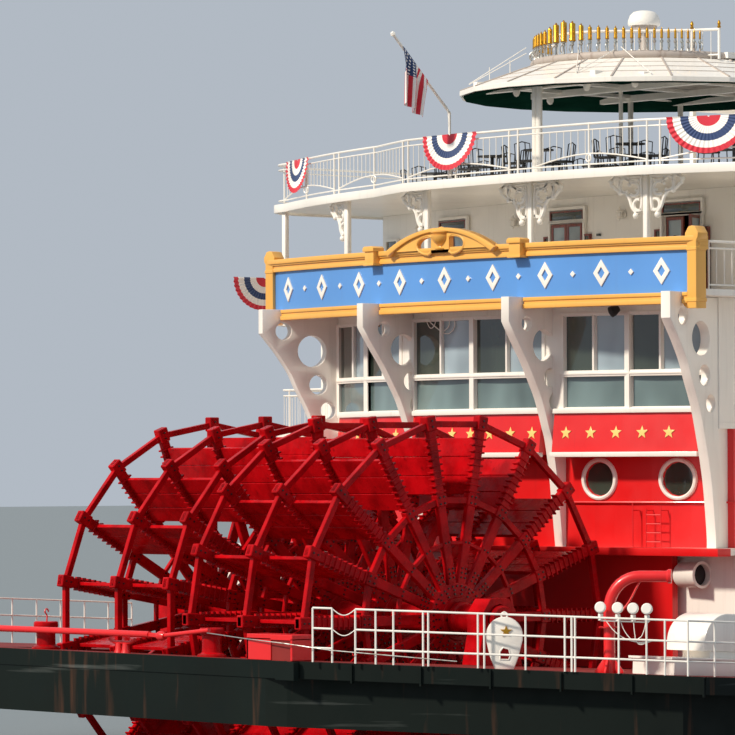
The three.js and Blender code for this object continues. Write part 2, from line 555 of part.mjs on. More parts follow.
const DOME_Z = AXLE_Z + 1371;
add("antenna_dome", lathe([[0, SUN_DECK + GAP], [24, SUN_DECK + GAP], [24, SUN_DECK + 12], [12, SUN_DECK + 14],
  [12, DOME_Z], [31, DOME_Z + 2], [31, DOME_Z + 10], [39, DOME_Z + 12], [38, DOME_Z + 24], [31, DOME_Z + 35],
  [17, DOME_Z + 41], [0, DOME_Z + 43]], 16, CANOPY_X - 19, 0), WHITE);

// Railings: a handrail on posts
function railing(name, line, z, spacing, height = RAIL_HEIGHT, placed = new THREE.Matrix4()) {
  const half = 3;
  const closed = line[0] === line[line.length - 1];
  const offset = line.map(([x, y], i) => {
    const before = new THREE.Vector2(...(line[i - 1] ?? (closed ? line[line.length - 2] : line[i])));
    const after = new THREE.Vector2(...(line[i + 1] ?? (closed ? line[1] : line[i])));
    const here = new THREE.Vector2(x, y);
    const a = here.clone().sub(before).normalize();
    const b = after.sub(here).normalize();
    const along = a.add(b).normalize();
    return [[x - along.y * half, y + along.x * half], [x + along.y * half, y - along.x * half]];
  });
  const [lefts, rights] = [0, 1].map((k) => offset.map((pair) => pair[k]));
  const strip = shapeOf(closed ? rights.slice(1) : [...lefts, ...rights.reverse()].reverse());
  if (closed) strip.holes.push(holeOf(lefts.slice(1)));
  const posts = [];
  for (let i = 0; i + 1 < line.length; i++) {
    const [[x0, y0], [x1, y1]] = [line[i], line[i + 1]];
    const count = Math.max(1, Math.round(Math.hypot(x1 - x0, y1 - y0) / spacing));
    for (let k = i ? 1 : 0; k <= count; k++) {
      const [x, y] = [x0 + ((x1 - x0) * k) / count, y0 + ((y1 - y0) * k) / count];
      posts.push(box(x - 2, x + 2, y - 2, y + 2, z + GAP, z + height - 2));
    }
  }
  add(name, join([plan(strip, z + height - 6, z + height), ...posts]).applyMatrix4(placed), WHITE);
}
// The part of a deck's outline from the front round to the stern, open astern where a tongue joins.
function gallery(deck, halfOpen) {
  const outline = deckOutline(deck, 14).filter(([x, y]) => x > WIDE_AFT + 40 || Math.abs(y) > halfOpen + 20);
  const start = outline.findIndex(([x, y], i) => y < 0 && (outline[i - 1] ?? outline[outline.length - 1])[1] >= 0 && x < 0);
  return [...outline.slice(start), ...outline.slice(0, start)];
}
function openGallery(deck, halfOpen) {
  const line = gallery(deck, halfOpen);
  return [[WIDE_AFT + 15, -halfOpen], ...line, [WIDE_AFT + 15, halfOpen]];
}
railing("cabin_railing", openGallery(DECKS.cabin, 760), CABIN_DECK, 1100);
railing("observation_railing", openGallery(DECKS.observation, 670), OBSERVATION_DECK, 1100);
const boardEnd = AXLE_X + 470;
railing("texas_railing", [[boardEnd, -722], ...openGallery(DECKS.texas, 722), [boardEnd, 722]], TEXAS_DECK, 1100);
const promenadeLine = deckOutline(DECKS.promenade, 12);
railing("promenade_railing", [...promenadeLine, promenadeLine[0]], PROMENADE_DECK, 1100);
railing("fantail_railing", [[AXLE_X - 628, -690], [AXLE_X - 200, -1335], [SLOT_FORE - 40, -1335]], FANTAIL_DECK, 150, 112, falling);
railing("fantail_railing_port", [[AXLE_X - 628, 690], [AXLE_X - 200, 1335], [SLOT_FORE - 40, 1335]], FANTAIL_DECK, 150, 112, falling);

// Flagstaff over the aft promenade railing, with its flag
const STAFF_Y = 236;
const STAFF_BASE = [AXLE_X + 572, STAFF_Y, PROMENADE_DECK + 6];
const STAFF_BEND = [STAFF_BASE[0], STAFF_Y, AXLE_Z + 1164];
const STAFF_TIP = [AXLE_X + 400, STAFF_Y, AXLE_Z + 1336];
add("flagstaff", join([bar(STAFF_BASE, STAFF_BEND, 7), bar(STAFF_BEND, STAFF_TIP, 7)]), WHITE);
const onStaff = (k) => [0, 2].map((i) => STAFF_BEND[i] + (STAFF_TIP[i] - STAFF_BEND[i]) * k);
const [hoistTop, hoistLow] = [onStaff(0.87), onStaff(0.42)];
const FLAG = { dropLow: 88, dropTop: 130, aft: 23 };
add("flag", elevation(shapeOf([
  hoistTop, hoistLow, [hoistLow[0] - FLAG.aft, hoistLow[1] - FLAG.dropLow], [hoistTop[0], hoistTop[1] - FLAG.dropTop],
]), STAFF_Y - 9, STAFF_Y - 5), CLOTH);

// Pleated half-oval buntings on the outside of the railings
const BUNTING = { half: 104, drop: 85 };
function promenadeRail(y) {
  const i = promenadeLine.findIndex(([x, b], k) => k && x < 0 && b <= y !== promenadeLine[k - 1][1] <= y);
  const [[x0, y0], [x1, y1]] = [promenadeLine[i - 1], promenadeLine[i]];
  return x0 + ((x1 - x0) * (y - y0)) / (y1 - y0);
}
function bunting(name, x, y, top, turn) {
  const half = circle(0, 0, 1, 16).slice(0, 9).map(([a, b]) => [a * BUNTING.half, -b * BUNTING.drop]);
  const plate = plan(shapeOf(half.reverse()), 0, 5).rotateX(Math.PI / 2).rotateZ(turn);
  add(name, plate.translate(x, y, top), CLOTH);
}
const BUNTING_TOP = PROMENADE_DECK + RAIL_HEIGHT + 4;
for (const [name, y] of [["bunting_port", 1100], ["bunting_middle", 215], ["bunting_starboard", -562]]) {
  const [a, b] = [y - BUNTING.half, y + BUNTING.half].map(promenadeRail);
  bunting(name, (a + b) / 2 - 12, y, BUNTING_TOP, Math.PI / 2 + Math.atan2(a - b, 2 * BUNTING.half));
}
bunting("bunting_gallery", -4800, DECKS.texas.half + 2, TEXAS_DECK + RAIL_HEIGHT + 4, 0);

// Pilothouse on the sun deck: walls with windows all round, a roof and its finial
const PILOT = { x: 2900, half: 150, side: 200, low: SUN_DECK, sill: SUN_DECK + 90, head: SUN_DECK + 190, high: SUN_DECK + 235 };
function pilothouse() {
  const { x, half, side, low, sill, head, high } = PILOT;
  const shape = shapeOf([[x - half, -side], [x + half, -side], [x + half, side], [x - half, side]]);
  const inner = half - 12;
  shape.holes.push(holeOf([[x - inner, -side + 12], [x + inner, -side + 12], [x + inner, side - 12], [x - inner, side - 12]]));
  const cuts = [
    ...[-150, -50, 50].map((y) => box(x - half - 20, x + half + 20, y + 8, y + 92, sill, head)),
    ...[-120, 0].map((dx) => box(x + dx + 10, x + dx + 110, -side - 20, side + 20, sill, head)),
  ];
  return cut(plan(shape, low + GAP, high - GAP), cuts);
}
add("pilothouse", pilothouse(), WHITE);
add("pilothouse_roof", join([
  box(PILOT.x - 175, PILOT.x + 175, -225, 225, PILOT.high, PILOT.high + 14),
  lathe([[0, PILOT.high + 10], [120, PILOT.high + 10], [90, PILOT.high + 50], [30, PILOT.high + 70], [12, PILOT.high + 110],
    [0, PILOT.high + 150]], 8, PILOT.x, 0),
]), WHITE);

// Stacks: each stands on its plinth and folds aft
for (const [name, side] of [["port", 1], ["starboard", -1]]) {
  const y = side * STACK.y;
  const r = STACK.radius;
  add(`stack_${name}`, lathe([[0, STACK.base + 1], [r, STACK.base + 1], [r, STACK.top - 150], [r + 8, STACK.top - 140],
    [r + 4, STACK.top - 110], [r + 50, STACK.top], [r + 40, STACK.top], [r - 6, STACK.top - 100], [0, STACK.top - 100]],
  16, STACK.x, y), STACK_BLACK);
}

// Bow: the grand stairs, and two swing stages hung from booms on their masts
const STAIR_STEPS = 8;
const stairFoot = 5000;
const stairHead = DECKS.cabin.fore + GAP;
const rise = (CABIN_DECK - 520) / STAIR_STEPS;
const run = (stairFoot - stairHead) / STAIR_STEPS;
const flight = [];
for (let i = 0; i < STAIR_STEPS; i++) {
  flight.push([stairHead + i * run, CABIN_DECK - i * rise], [stairHead + (i + 1) * run, CABIN_DECK - i * rise]);
}
add("bow_stairs", cut(
  elevation(shapeOf([[stairHead, 480], ...flight, [stairFoot, 480]].reverse()), -200, 200),
  [sheerBand(-150, GAP)],
), WHITE);

const MAST = { x: 4980, y: 560, top: 1560, radius: 22 };
const STAGE_TIP = HALF_LENGTH;
for (const [name, side] of [["port", 1], ["starboard", -1]]) {
  const y = side * MAST.y;
  add(`boom_mast_${name}`, post(MAST.x, y, sheer(MAST.x) + 6, MAST.top, MAST.radius, 12), WHITE);
  const collar = shapeOf(circle(MAST.x, y, MAST.radius + 22, 12));
  collar.holes.push(holeOf(circle(MAST.x, y, MAST.radius + 5, 12)));
  const outreach = MAST.x + 1000;
  add(`boom_${name}`, join([
    plan(collar, 800, 860),
    bar([MAST.x + 36, y, 830], [outreach, y, 1480], 26),
    bar([outreach, y, 1480], [STAGE_TIP - 160, y, 850], 5),
    bar([outreach, y, 1480], [MAST.x + 420, y, 850], 5),
    box(MAST.x + 220, STAGE_TIP, y - 75, y + 75, 800, 820),
    box(MAST.x + 220, STAGE_TIP, y - 75, y - 67, 815, 850),
    box(MAST.x + 220, STAGE_TIP, y + 67, y + 75, 815, 850),
    box(MAST.x + 400, MAST.x + 440, y - 70, y + 70, 845, 853),
    box(STAGE_TIP - 180, STAGE_TIP - 140, y - 70, y + 70, 845, 853),
  ]), WHITE);
}
add("jackstaff", post(5840, 0, BOW_DECK - 3, 1250, 7, 6), WHITE);
add("bow_capstan", lathe([[0, 587], [30, 587], [30, 600], [18, 612], [18, 640], [28, 650], [28, 660], [0, 660]], 12, 5560, 0), RED);

export default model;
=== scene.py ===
# Sternwheel paddle boat as a one-tenth scale model: the finish of its frame and the fine pieces round it.
# Lengths are metres of the model. Places measured on the real boat are in real metres from the middle of
# the wheel's axle (forward, to port, up), and place() turns them into places on the model.
import json
from math import asin, copysign, cos, exp, pi, radians, sin, sqrt, tau

import bpy
from bpy.props import FloatProperty, FloatVectorProperty, IntProperty, PointerProperty
from bpy.types import Operator, Panel, PropertyGroup
from mathutils import Matrix, Vector


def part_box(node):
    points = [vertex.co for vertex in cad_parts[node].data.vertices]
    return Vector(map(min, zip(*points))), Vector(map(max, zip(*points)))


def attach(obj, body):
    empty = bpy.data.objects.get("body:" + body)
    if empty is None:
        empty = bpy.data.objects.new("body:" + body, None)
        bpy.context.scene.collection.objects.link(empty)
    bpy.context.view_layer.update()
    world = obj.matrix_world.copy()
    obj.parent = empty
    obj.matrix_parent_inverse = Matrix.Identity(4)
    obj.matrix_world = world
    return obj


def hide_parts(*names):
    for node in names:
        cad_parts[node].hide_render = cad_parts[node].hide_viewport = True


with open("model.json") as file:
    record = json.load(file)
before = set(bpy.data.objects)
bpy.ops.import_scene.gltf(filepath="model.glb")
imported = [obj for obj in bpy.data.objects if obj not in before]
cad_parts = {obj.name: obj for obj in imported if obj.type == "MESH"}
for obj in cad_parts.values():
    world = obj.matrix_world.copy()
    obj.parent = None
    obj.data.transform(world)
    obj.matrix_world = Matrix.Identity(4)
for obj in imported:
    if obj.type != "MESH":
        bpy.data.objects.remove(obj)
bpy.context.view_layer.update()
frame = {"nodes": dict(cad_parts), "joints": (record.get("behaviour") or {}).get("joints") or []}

bl_info = {
    "name": "Sternwheel paddle boat",
    "version": (1, 0, 0),
    "blender": (4, 5, 0),
    "location": "3D View > Sidebar > Paddle boat",
    "description": "Builds the finishes and fine pieces of a sternwheel paddle boat round its frame",
    "category": "Object",
}

SCALE = 0.1
CAMERA_ROLL = 0.003
AXLE = Vector(next(j["pos_m"] for j in frame["joints"] if j["name"] == "paddlewheel_spin"))
WATERLINE = 0.26


def top_of(node):
    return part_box(node)[1].z


def aft_of(node):
    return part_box(node)[0].x


DECK_TOP = {name: top_of(f"{name}_deck") for name in ("cabin", "observation", "texas", "promenade")}
FANTAIL_TOP = AXLE.z - 0.065
SUN_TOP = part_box("pilothouse")[0].z


def xyz(x, y, z):
    return Vector((x, y, z))


def place(forward, port, up):
    """A point measured on the real boat from the middle of the axle, in the model's frame."""
    return AXLE + xyz(forward, port, up) * SCALE


def linear(hex_colour):
    """An sRGB colour such as #E8201C as the linear values that shaders use."""
    parts = [int(hex_colour[i:i + 2], 16) / 255 for i in (1, 3, 5)]
    return tuple(c / 12.92 if c <= 0.04045 else ((c + 0.055) / 1.055) ** 2.4 for c in parts)


def colour(name, description, hex_colour):
    return FloatVectorProperty(name=name, description=description, subtype="COLOR", size=3,
                               min=0, max=1, default=linear(hex_colour))


def length(name, description, default):
    return FloatProperty(name=name, description=description, default=default, min=0, unit="LENGTH")


# Sizes and colours that a user would change

class BoatSizes(PropertyGroup):
    """Spacings and thicknesses of the fine pieces."""
    baluster_gap: length("Baluster spacing", "Distance between the bars of a deck railing", 0.024)
    bay: length("Railing bay", "Length of one bay of a deck railing", 0.42)
    rail_radius: length("Handrail radius", "Radius of the top rail of a deck railing", 0.0028)
    rivet_radius: length("Bolt radius", "Radius of the wheel's bolt heads", 0.0021)
    cabin_pitch: length("Cabin spacing", "Distance between two doors of the passenger decks", 0.42)
    roof_panels: IntProperty(name="Roof panels", description="Panels round the canopy's roof", default=20,
                             min=8)
    stack_flutes: IntProperty(name="Stack staves", description="Vertical bands round a stack", default=24,
                              min=8)


class BoatColours(PropertyGroup):
    """Paints, woods, metals and cloths."""
    red: colour("Red", "Stern house and fantail fittings", "#DE1A1C")
    wheel: colour("Wheel red", "Paddlewheel", "#B40A12")
    white: colour("White", "Houses, fins and railings", "#F4EFE6")
    hull: colour("Hull", "Hull and guards, nearly black green", "#0A1310")
    deck: colour("Deck red", "Walked decks", "#741510")
    amber: colour("Amber", "Frame of the name board", "#EFB356")
    blue: colour("Blue", "Ground of the name board", "#5B95DA")
    gold: colour("Gold", "Stars and ornaments", "#F6D57C")
    wood: colour("Wood", "Doors", "#7A3020")
    brass: colour("Brass", "Whistles", "#D9A43A")
    green: colour("Dark green", "Underside of the canopy", "#0F2F26")
    glass: colour("Glass", "Window panes", "#6F8484")
    # Dark glass is painted shade: the dark of unlit rooms behind the panes.
    glass_dark: colour("Dark glass", "Panes over a dim room", "#39423A")
    # Pale glass is a painted reflection of the sky on the panes.
    glass_pale: colour("Pale glass", "Panes over a curtain", "#A4B6C0")
    stack: colour("Stack black", "Stacks", "#1B1C1E")
    lagging: colour("Pipe grey", "Steam pipe", "#B4A9A0")
    cloth_red: colour("Cloth red", "Red of the flag and buntings", "#D3263A")
    cloth_blue: colour("Cloth blue", "Blue of the flag and buntings", "#27406E")
    cloth_white: colour("Cloth white", "White of the flag and buntings", "#F5F2EC")


def sizes():
    return bpy.context.scene.boat_sizes


def tint(hex_colour):
    return (*linear(hex_colour), 1.0)


def paint_of(name):
    """A colour of the boat by its name, or a hex colour as it is."""
    return tint(name) if name.startswith("#") else (*getattr(bpy.context.scene.boat_colours, name), 1.0)


def shade_of(rgba, factor):
    return (*(min(1.0, c * factor) for c in rgba[:3]), 1.0)


# Materials

MIX_A, MIX_B, MIX_OUT = 6, 7, 2  # colour sockets of a Mix node
RANGE = ("From Min", "From Max", "To Min", "To Max")


def plug(tree, made, inputs):
    """Gives a node's inputs fixed values or other nodes' outputs."""
    for key, item in inputs.items():
        if isinstance(item, bpy.types.NodeSocket):
            tree.links.new(item, made.inputs[key])
        else:
            made.inputs[key].default_value = item


def add_node(tree, kind, inputs, output=0, **settings):
    """Adds a shader node with its settings and inputs, and gives back one of its outputs."""
    made = tree.nodes.new("ShaderNode" + kind)
    for key, value in settings.items():
        setattr(made, key, value)
    plug(tree, made, inputs)
    return made.outputs[output]


def per_metre(millimetres):
    """Noise scale for a pattern of this size on the model."""
    return 1000 / millimetres


def grain(tree, millimetres, detail=3.0, stretch=None, limits=None, values=(0.0, 1.0)):
    """Unevenness of a size on the piece, drawn out along an axis, and turned to values between two limits."""
    made = add_node(tree, "TexCoord", {}, "Object")
    if stretch:
        made = add_node(tree, "Mapping", {"Vector": made, "Scale": stretch})
    made = add_node(tree, "TexNoise", {"Vector": made, "Scale": per_metre(millimetres), "Detail": detail})
    if limits:
        made = add_node(tree, "MapRange", {"Value": made, **dict(zip(RANGE, (*limits, *values)))})
    return made


def layers(tree, ground, *coats):
    """Coats of colour over a ground; each coat is where it shows and its colour."""
    for share, coat in coats:
        ground = add_node(tree, "Mix", {"Factor": share, MIX_A: ground, MIX_B: coat}, MIX_OUT,
                          data_type="RGBA")
    return ground


def dress(tree, colours, roughness, relief, others=None):
    """A surface's colour, roughness, relief of (height, distance, strength) and other inputs."""
    normal = add_node(tree, "Bump", dict(zip(("Height", "Distance", "Strength"), relief)))
    inputs = {"Base Color": colours, "Roughness": roughness, "Normal": normal, **(others or {})}
    plug(tree, tree.nodes["Principled BSDF"], inputs)


def enamel(tree, paint, roughness=0.34, coat=0.25, dirt=0.16, dirt_colour="#6B5A48"):
    """Brushed marine enamel: an even coat with slow fading, faint runs of dirt down it and brush marks."""
    base = paint_of(paint)
    fading = grain(tree, 260, limits=(0.35, 0.7))
    runs = grain(tree, 16, 4.0, (1, 1, 0.07), (0.56, 0.8), (0.0, dirt))
    colours = layers(tree, shade_of(base, 0.93), (fading, shade_of(base, 1.05)), (runs, tint(dirt_colour)))
    gloss = grain(tree, 60, limits=(0.3, 0.7), values=(roughness - 0.06, roughness + 0.08))
    dress(tree, colours, gloss, (grain(tree, 5, 2.0, (1, 1, 0.3)), 0.0002, 0.35),
          {"Coat Weight": coat, "Coat Roughness": 0.12})


def matt_boards(tree):
    """Dull green paint on thin boards, with the lines between the boards and a slow unevenness."""
    base = paint_of("green")
    uneven = grain(tree, 120, limits=(0.35, 0.7))
    boards = add_node(tree, "TexWave", {"Vector": add_node(tree, "TexCoord", {}, "Object"),
                                        "Scale": per_metre(60)}, "Fac", bands_direction="Y")
    dress(tree, layers(tree, shade_of(base, 0.7), (uneven, shade_of(base, 1.2))), 0.9, (boards, 0.0006, 0.5),
          {"Specular IOR Level": 0.0})


def wet_enamel(tree, paint):
    """Wet red enamel on plank and bar: deep colour, dark where water and grease stand, sharp lights."""
    base = paint_of(paint)
    blotch = grain(tree, 45, 5.0, limits=(0.4, 0.68))
    grease = grain(tree, 14, 6.0, limits=(0.62, 0.76), values=(0.0, 0.5))
    colours = layers(tree, shade_of(base, 1.12), (blotch, shade_of(base, 0.62)), (grease, tint("#2A0A0C")))
    dress(tree, colours, grain(tree, 25, limits=(0.3, 0.7), values=(0.14, 0.36)),
          (grain(tree, 7, 4.0), 0.0005, 0.5), {"Specular IOR Level": 0.12})


def tar_epoxy(tree):
    """Black-green bottom paint on plate: rust runs, pale scuffs along it and a weed band at the water."""
    base = paint_of("hull")
    patches = grain(tree, 400, 4.0, limits=(0.35, 0.7))
    rust = grain(tree, 30, 5.0, (1, 1, 0.08), (0.6, 0.82), (0.0, 0.55))
    scuff = grain(tree, 26, 5.0, (0.05, 0.05, 1), (0.62, 0.8), (0.0, 0.35))
    height = add_node(tree, "SeparateXYZ", {"Vector": add_node(tree, "TexCoord", {}, "Object")}, "Z")
    weed_edges = (WATERLINE + 0.07, WATERLINE + 0.01, 0.0, 0.6)
    weed = add_node(tree, "MapRange", {"Value": height, **dict(zip(RANGE, weed_edges))})
    colours = layers(tree, shade_of(base, 0.8), (patches, shade_of(base, 1.35)), (rust, tint("#6B4430")),
                     (scuff, tint("#8E9490")), (weed, tint("#3C4433")))
    dress(tree, colours, grain(tree, 80, limits=(0.3, 0.7), values=(0.45, 0.7)),
          (grain(tree, 90), 0.0012, 0.5), {"Specular IOR Level": 0.15})


def deck_paint(tree, paint, grit_mm=2.2):
    """Non-slip deck paint: sand in the coat breaks the light, with worn and dusty paths."""
    base = paint_of(paint)
    worn = grain(tree, 220, 5.0, limits=(0.4, 0.7))
    dress(tree, layers(tree, base, (worn, shade_of(base, 1.5))), 0.75,
          (grain(tree, grit_mm, 1.0), 0.0004, 0.6))


def varnished_wood(tree):
    """Varnished mahogany: long dark grain under a glossy coat."""
    base = paint_of("wood")
    fibres = grain(tree, 4, 6.0, (1, 1, 0.06))
    pale = add_node(tree, "MapRange", {"Value": fibres, "From Min": 0.35, "From Max": 0.65})
    dress(tree, layers(tree, shade_of(base, 0.55), (pale, shade_of(base, 1.35))), 0.4, (fibres, 0.0002, 0.4),
          {"Coat Weight": 0.8, "Coat Roughness": 0.1})


def metal(tree, paint, roughness, tarnish):
    """Bare metal with tarnish or rust in patches that dull it."""
    spots = grain(tree, 14, 5.0, limits=(0.42, 0.68), values=(0.0, 0.5))
    dulled = (0, 0.5, roughness, roughness + 0.25)
    gloss = add_node(tree, "MapRange", {"Value": spots, **dict(zip(RANGE, dulled))})
    dress(tree, layers(tree, paint_of(paint), (spots, tint(tarnish))), gloss, (grain(tree, 3), 0.0001, 0.4),
          {"Metallic": 1.0})


def pane_glass(tree, paint):
    """Tinted window glass seen from outside: mirror smooth, a little uneven; the dark kind is painted shade
    of an unlit room behind it, the pale kind a painted reflection of the sky.
    """
    base = paint_of(paint)
    tone = grain(tree, 130, 2.0, (1, 1, 0.5), (0.3, 0.7))
    dress(tree, layers(tree, shade_of(base, 0.45), (tone, shade_of(base, 1.15))), 0.06,
          (grain(tree, 90, 1.0), 0.0006, 0.12), {"IOR": 1.52, "Coat Weight": 1.0, "Coat Roughness": 0.02})


def dyed_cloth(tree, pattern):
    """Dyed flag nylon: pattern(tree, uv) gives its colours, fine ribs of the weave its sheen."""
    weave = add_node(tree, "TexWave", {"Vector": add_node(tree, "TexCoord", {}, "Object"),
                                       "Scale": per_metre(9),
                                       "Distortion": 0.4}, "Fac", bands_direction="DIAGONAL")
    dress(tree, pattern(tree, add_node(tree, "UVMap", {})), 0.7, (weave, 0.0002, 0.3), {"Sheen Weight": 0.3})


def fan_pattern(tree, where):
    """Half-round bunting from its centre out: red, white, blue, white and red."""
    radius = add_node(tree, "SeparateXYZ", {"Vector": where}, "Y")
    edges = ((0.26, "cloth_white"), (0.46, "cloth_blue"), (0.66, "cloth_white"), (0.85, "cloth_red"))
    return layers(tree, paint_of("cloth_red"), *(
        (add_node(tree, "Math", {0: radius, 1: edge}, operation="GREATER_THAN"), paint_of(cloth))
        for edge, cloth in edges))


def flag_pattern(tree, where):
    """Thirteen stripes and a dark canton with rows of small white stars, drawn as dots."""
    stripes, canton_side, canton_foot = 13, 0.4, 6 / 13
    across, up = (add_node(tree, "SeparateXYZ", {"Vector": where}, axis) for axis in "XY")
    tall = add_node(tree, "Math", {0: up, 1: stripes}, operation="MULTIPLY")
    pair = add_node(tree, "Math", {0: tall, 1: 2.0}, operation="MODULO")
    stripe = add_node(tree, "Math", {0: pair, 1: 1.0}, operation="GREATER_THAN")
    beside = add_node(tree, "Math", {0: across, 1: canton_side}, operation="LESS_THAN")
    above = add_node(tree, "Math", {0: up, 1: canton_foot}, operation="GREATER_THAN")
    canton = add_node(tree, "Math", {0: beside, 1: above}, operation="MULTIPLY")
    cells = add_node(tree, "VectorMath", {0: where, 1: (15.0, 9.3, 0)}, operation="MULTIPLY")
    cell = add_node(tree, "VectorMath", {0: cells}, operation="FRACTION")
    apart = add_node(tree, "VectorMath", {0: cell, 1: (0.5, 0.5, 0)}, "Value", operation="DISTANCE")
    dots = add_node(tree, "Math", {0: apart, 1: sqrt(0.07)}, operation="LESS_THAN")
    starry = layers(tree, paint_of("cloth_blue"), (dots, paint_of("cloth_white")))
    return layers(tree, paint_of("cloth_red"), (stripe, paint_of("cloth_white")), (canton, starry))


# Every finish by the name that the pieces use: the material's name, how it is made, and its settings
FINISHES = {
    "white": ("white_enamel", enamel, {"paint": "white", "dirt": 0.14}),
    "red": ("red_enamel", enamel, {"paint": "red", "dirt": 0.1, "dirt_colour": "#7A1512"}),
    "wheel": ("wheel_enamel", wet_enamel, {"paint": "wheel"}),
    "hull": ("hull_epoxy", tar_epoxy, {}),
    "deck": ("deck_paint", deck_paint, {"paint": "deck"}),
    "roof": ("roof_coating", deck_paint, {"paint": "white", "grit_mm": 4.0}),
    "amber": ("amber_enamel", enamel, {"paint": "amber", "dirt": 0.12}),
    "blue": ("blue_enamel", enamel, {"paint": "blue", "dirt": 0.05}),
    "gold": ("gold_paint", enamel, {"paint": "gold", "roughness": 0.3, "coat": 0.5, "dirt": 0.0}),
    "green": ("green_boards", matt_boards, {}),
    "stack": ("stack_enamel", enamel, {"paint": "stack", "roughness": 0.5, "coat": 0.05, "dirt": 0.5,
                                       "dirt_colour": "#4A3A30"}),
    "wood": ("varnished_mahogany", varnished_wood, {}),
    "brass": ("polished_brass", metal, {"paint": "brass", "roughness": 0.28, "tarnish": "#8A5A1E"}),
    "steel": ("galvanised_steel", metal, {"paint": "#B9BCB8", "roughness": 0.42, "tarnish": "#8B5A3A"}),
    "dark": ("dark_fittings", enamel, {"paint": "stack", "roughness": 0.55, "coat": 0.0}),
    "bolt": ("greased_bolts", enamel, {"paint": "stack", "roughness": 0.3, "coat": 0.2, "dirt": 0.3,
                                       "dirt_colour": "#4A1014"}),
    "pipe": ("pipe_lagging", enamel, {"paint": "lagging", "roughness": 0.6, "coat": 0.0, "dirt": 0.7,
                                      "dirt_colour": "#7A5A48"}),
    "glass": ("window_glass", pane_glass, {"paint": "glass"}),
    # Dark panes: painted shade of the unlit rooms behind them.
    "glass_dark": ("shaded_glass", pane_glass, {"paint": "glass_dark"}),
    # Pale panes: a painted reflection of the sky.
    "glass_pale": ("painted_sky_glass", pane_glass, {"paint": "glass_pale"}),
    "fan": ("bunting_cloth", dyed_cloth, {"pattern": fan_pattern}),
    "flag": ("flag_cloth", dyed_cloth, {"pattern": flag_pattern}),
}
MATERIALS = {}


def new_material(name):
    material = bpy.data.materials.new(name)
    material.use_nodes = True
    return material


def make_materials():
    for key, (name, recipe, settings) in FINISHES.items():
        MATERIALS[key] = new_material(name)
        recipe(MATERIALS[key].node_tree, **settings)


# Modelling helpers

def shift(by):
    return Matrix.Translation(by)


def select(*pieces):
    bpy.ops.object.select_all(action="DESELECT")
    for piece in pieces:
        piece.select_set(True)
    bpy.context.view_layer.objects.active = pieces[0]


def edit(piece, *steps):
    """Runs mesh tools on all of a piece in edit mode; each step is a tool's name and its settings."""
    select(piece)
    bpy.ops.object.mode_set(mode="EDIT")
    bpy.ops.mesh.select_mode(type="VERT")
    bpy.ops.mesh.select_all(action="SELECT")
    for tool, settings in steps:
        getattr(bpy.ops.mesh, tool)(**settings)
    bpy.ops.object.mode_set(mode="OBJECT")
    return piece


MERGE = 1e-5
CLOSED = (("remove_doubles", {"threshold": MERGE}), ("normals_make_consistent", {"inside": False}))


def block(low, high, bevel=0.0):
    """A box between two corners with its edges taken off."""
    low, high = Vector(low), Vector(high)
    bpy.ops.object.select_all(action="DESELECT")
    bpy.ops.mesh.primitive_cube_add(size=1, location=(low + high) / 2)
    piece = bpy.context.object
    piece.scale = [abs(c) for c in high - low]
    bpy.ops.object.transform_apply(location=True, rotation=True, scale=True)
    if bevel:
        edit(piece, ("bevel", {"offset": bevel, "segments": 1, "affect": "EDGES"}))
    return piece


def frame_at(origin, across, upward):
    """Matrix of a local frame: its X along across, its Y along upward, its Z square to both."""
    x = Vector(across).normalized()
    y = Vector(upward)
    y = (y - x * y.dot(x)).normalized()
    z = x.cross(y)
    return shift(origin) @ Matrix((x, y, z)).transposed().to_4x4()


def beam(start, end, width, depth, bevel=0.0, upward=(0, 0, 1)):
    """A rectangular bar between two points; depth is measured towards upward."""
    start, end = Vector(start), Vector(end)
    long = (end - start).length
    piece = block((0, -depth / 2, -width / 2), (long, depth / 2, width / 2), bevel)
    piece.data.transform(frame_at(start, end - start, upward))
    return piece


def new_object(name, data):
    piece = bpy.data.objects.new(name, data)
    bpy.context.scene.collection.objects.link(piece)
    return piece


def as_mesh(piece):
    select(piece)
    bpy.ops.object.convert(target="MESH")
    return bpy.context.object


def rods(lines, radius, sides=8, smooth=False, closed=False):
    """Round bars along lines of points, as one mesh with closed ends."""
    data = bpy.data.curves.new("rods", "CURVE")
    data.dimensions = "3D"
    data.bevel_depth = radius
    data.bevel_resolution = (sides - 4) // 2
    data.use_fill_caps = not closed
    data.resolution_u = 6
    for line in lines:
        spline = data.splines.new("BEZIER" if smooth else "POLY")
        points = spline.bezier_points if smooth else spline.points
        points.add(len(line) - 1)
        for point, co in zip(points, line):
            point.co = Vector(co) if smooth else (*co, 1.0)
            if smooth:
                point.handle_left_type = point.handle_right_type = "AUTO"
        spline.use_cyclic_u = closed
    return edit(as_mesh(new_object("rods", data)), *CLOSED)


def plate(outlines, depth, bevel=0.0, matrix=None):
    """A flat plate from an outline and its holes, drawn in local X and Y; depth is its thickness."""
    data = bpy.data.curves.new("plate", "CURVE")
    data.dimensions = "2D"
    data.fill_mode = "BOTH"
    data.extrude = depth / 2 - bevel
    data.bevel_depth = bevel
    data.bevel_resolution = 1
    data.offset = -bevel
    for outline in outlines:
        spline = data.splines.new("POLY")
        spline.points.add(len(outline) - 1)
        for point, (u, v) in zip(spline.points, outline):
            point.co = (u, v, 0, 1)
        spline.use_cyclic_u = True
    piece = as_mesh(new_object("plate", data))
    if matrix is not None:
        piece.data.transform(matrix)
    return edit(piece, *CLOSED)


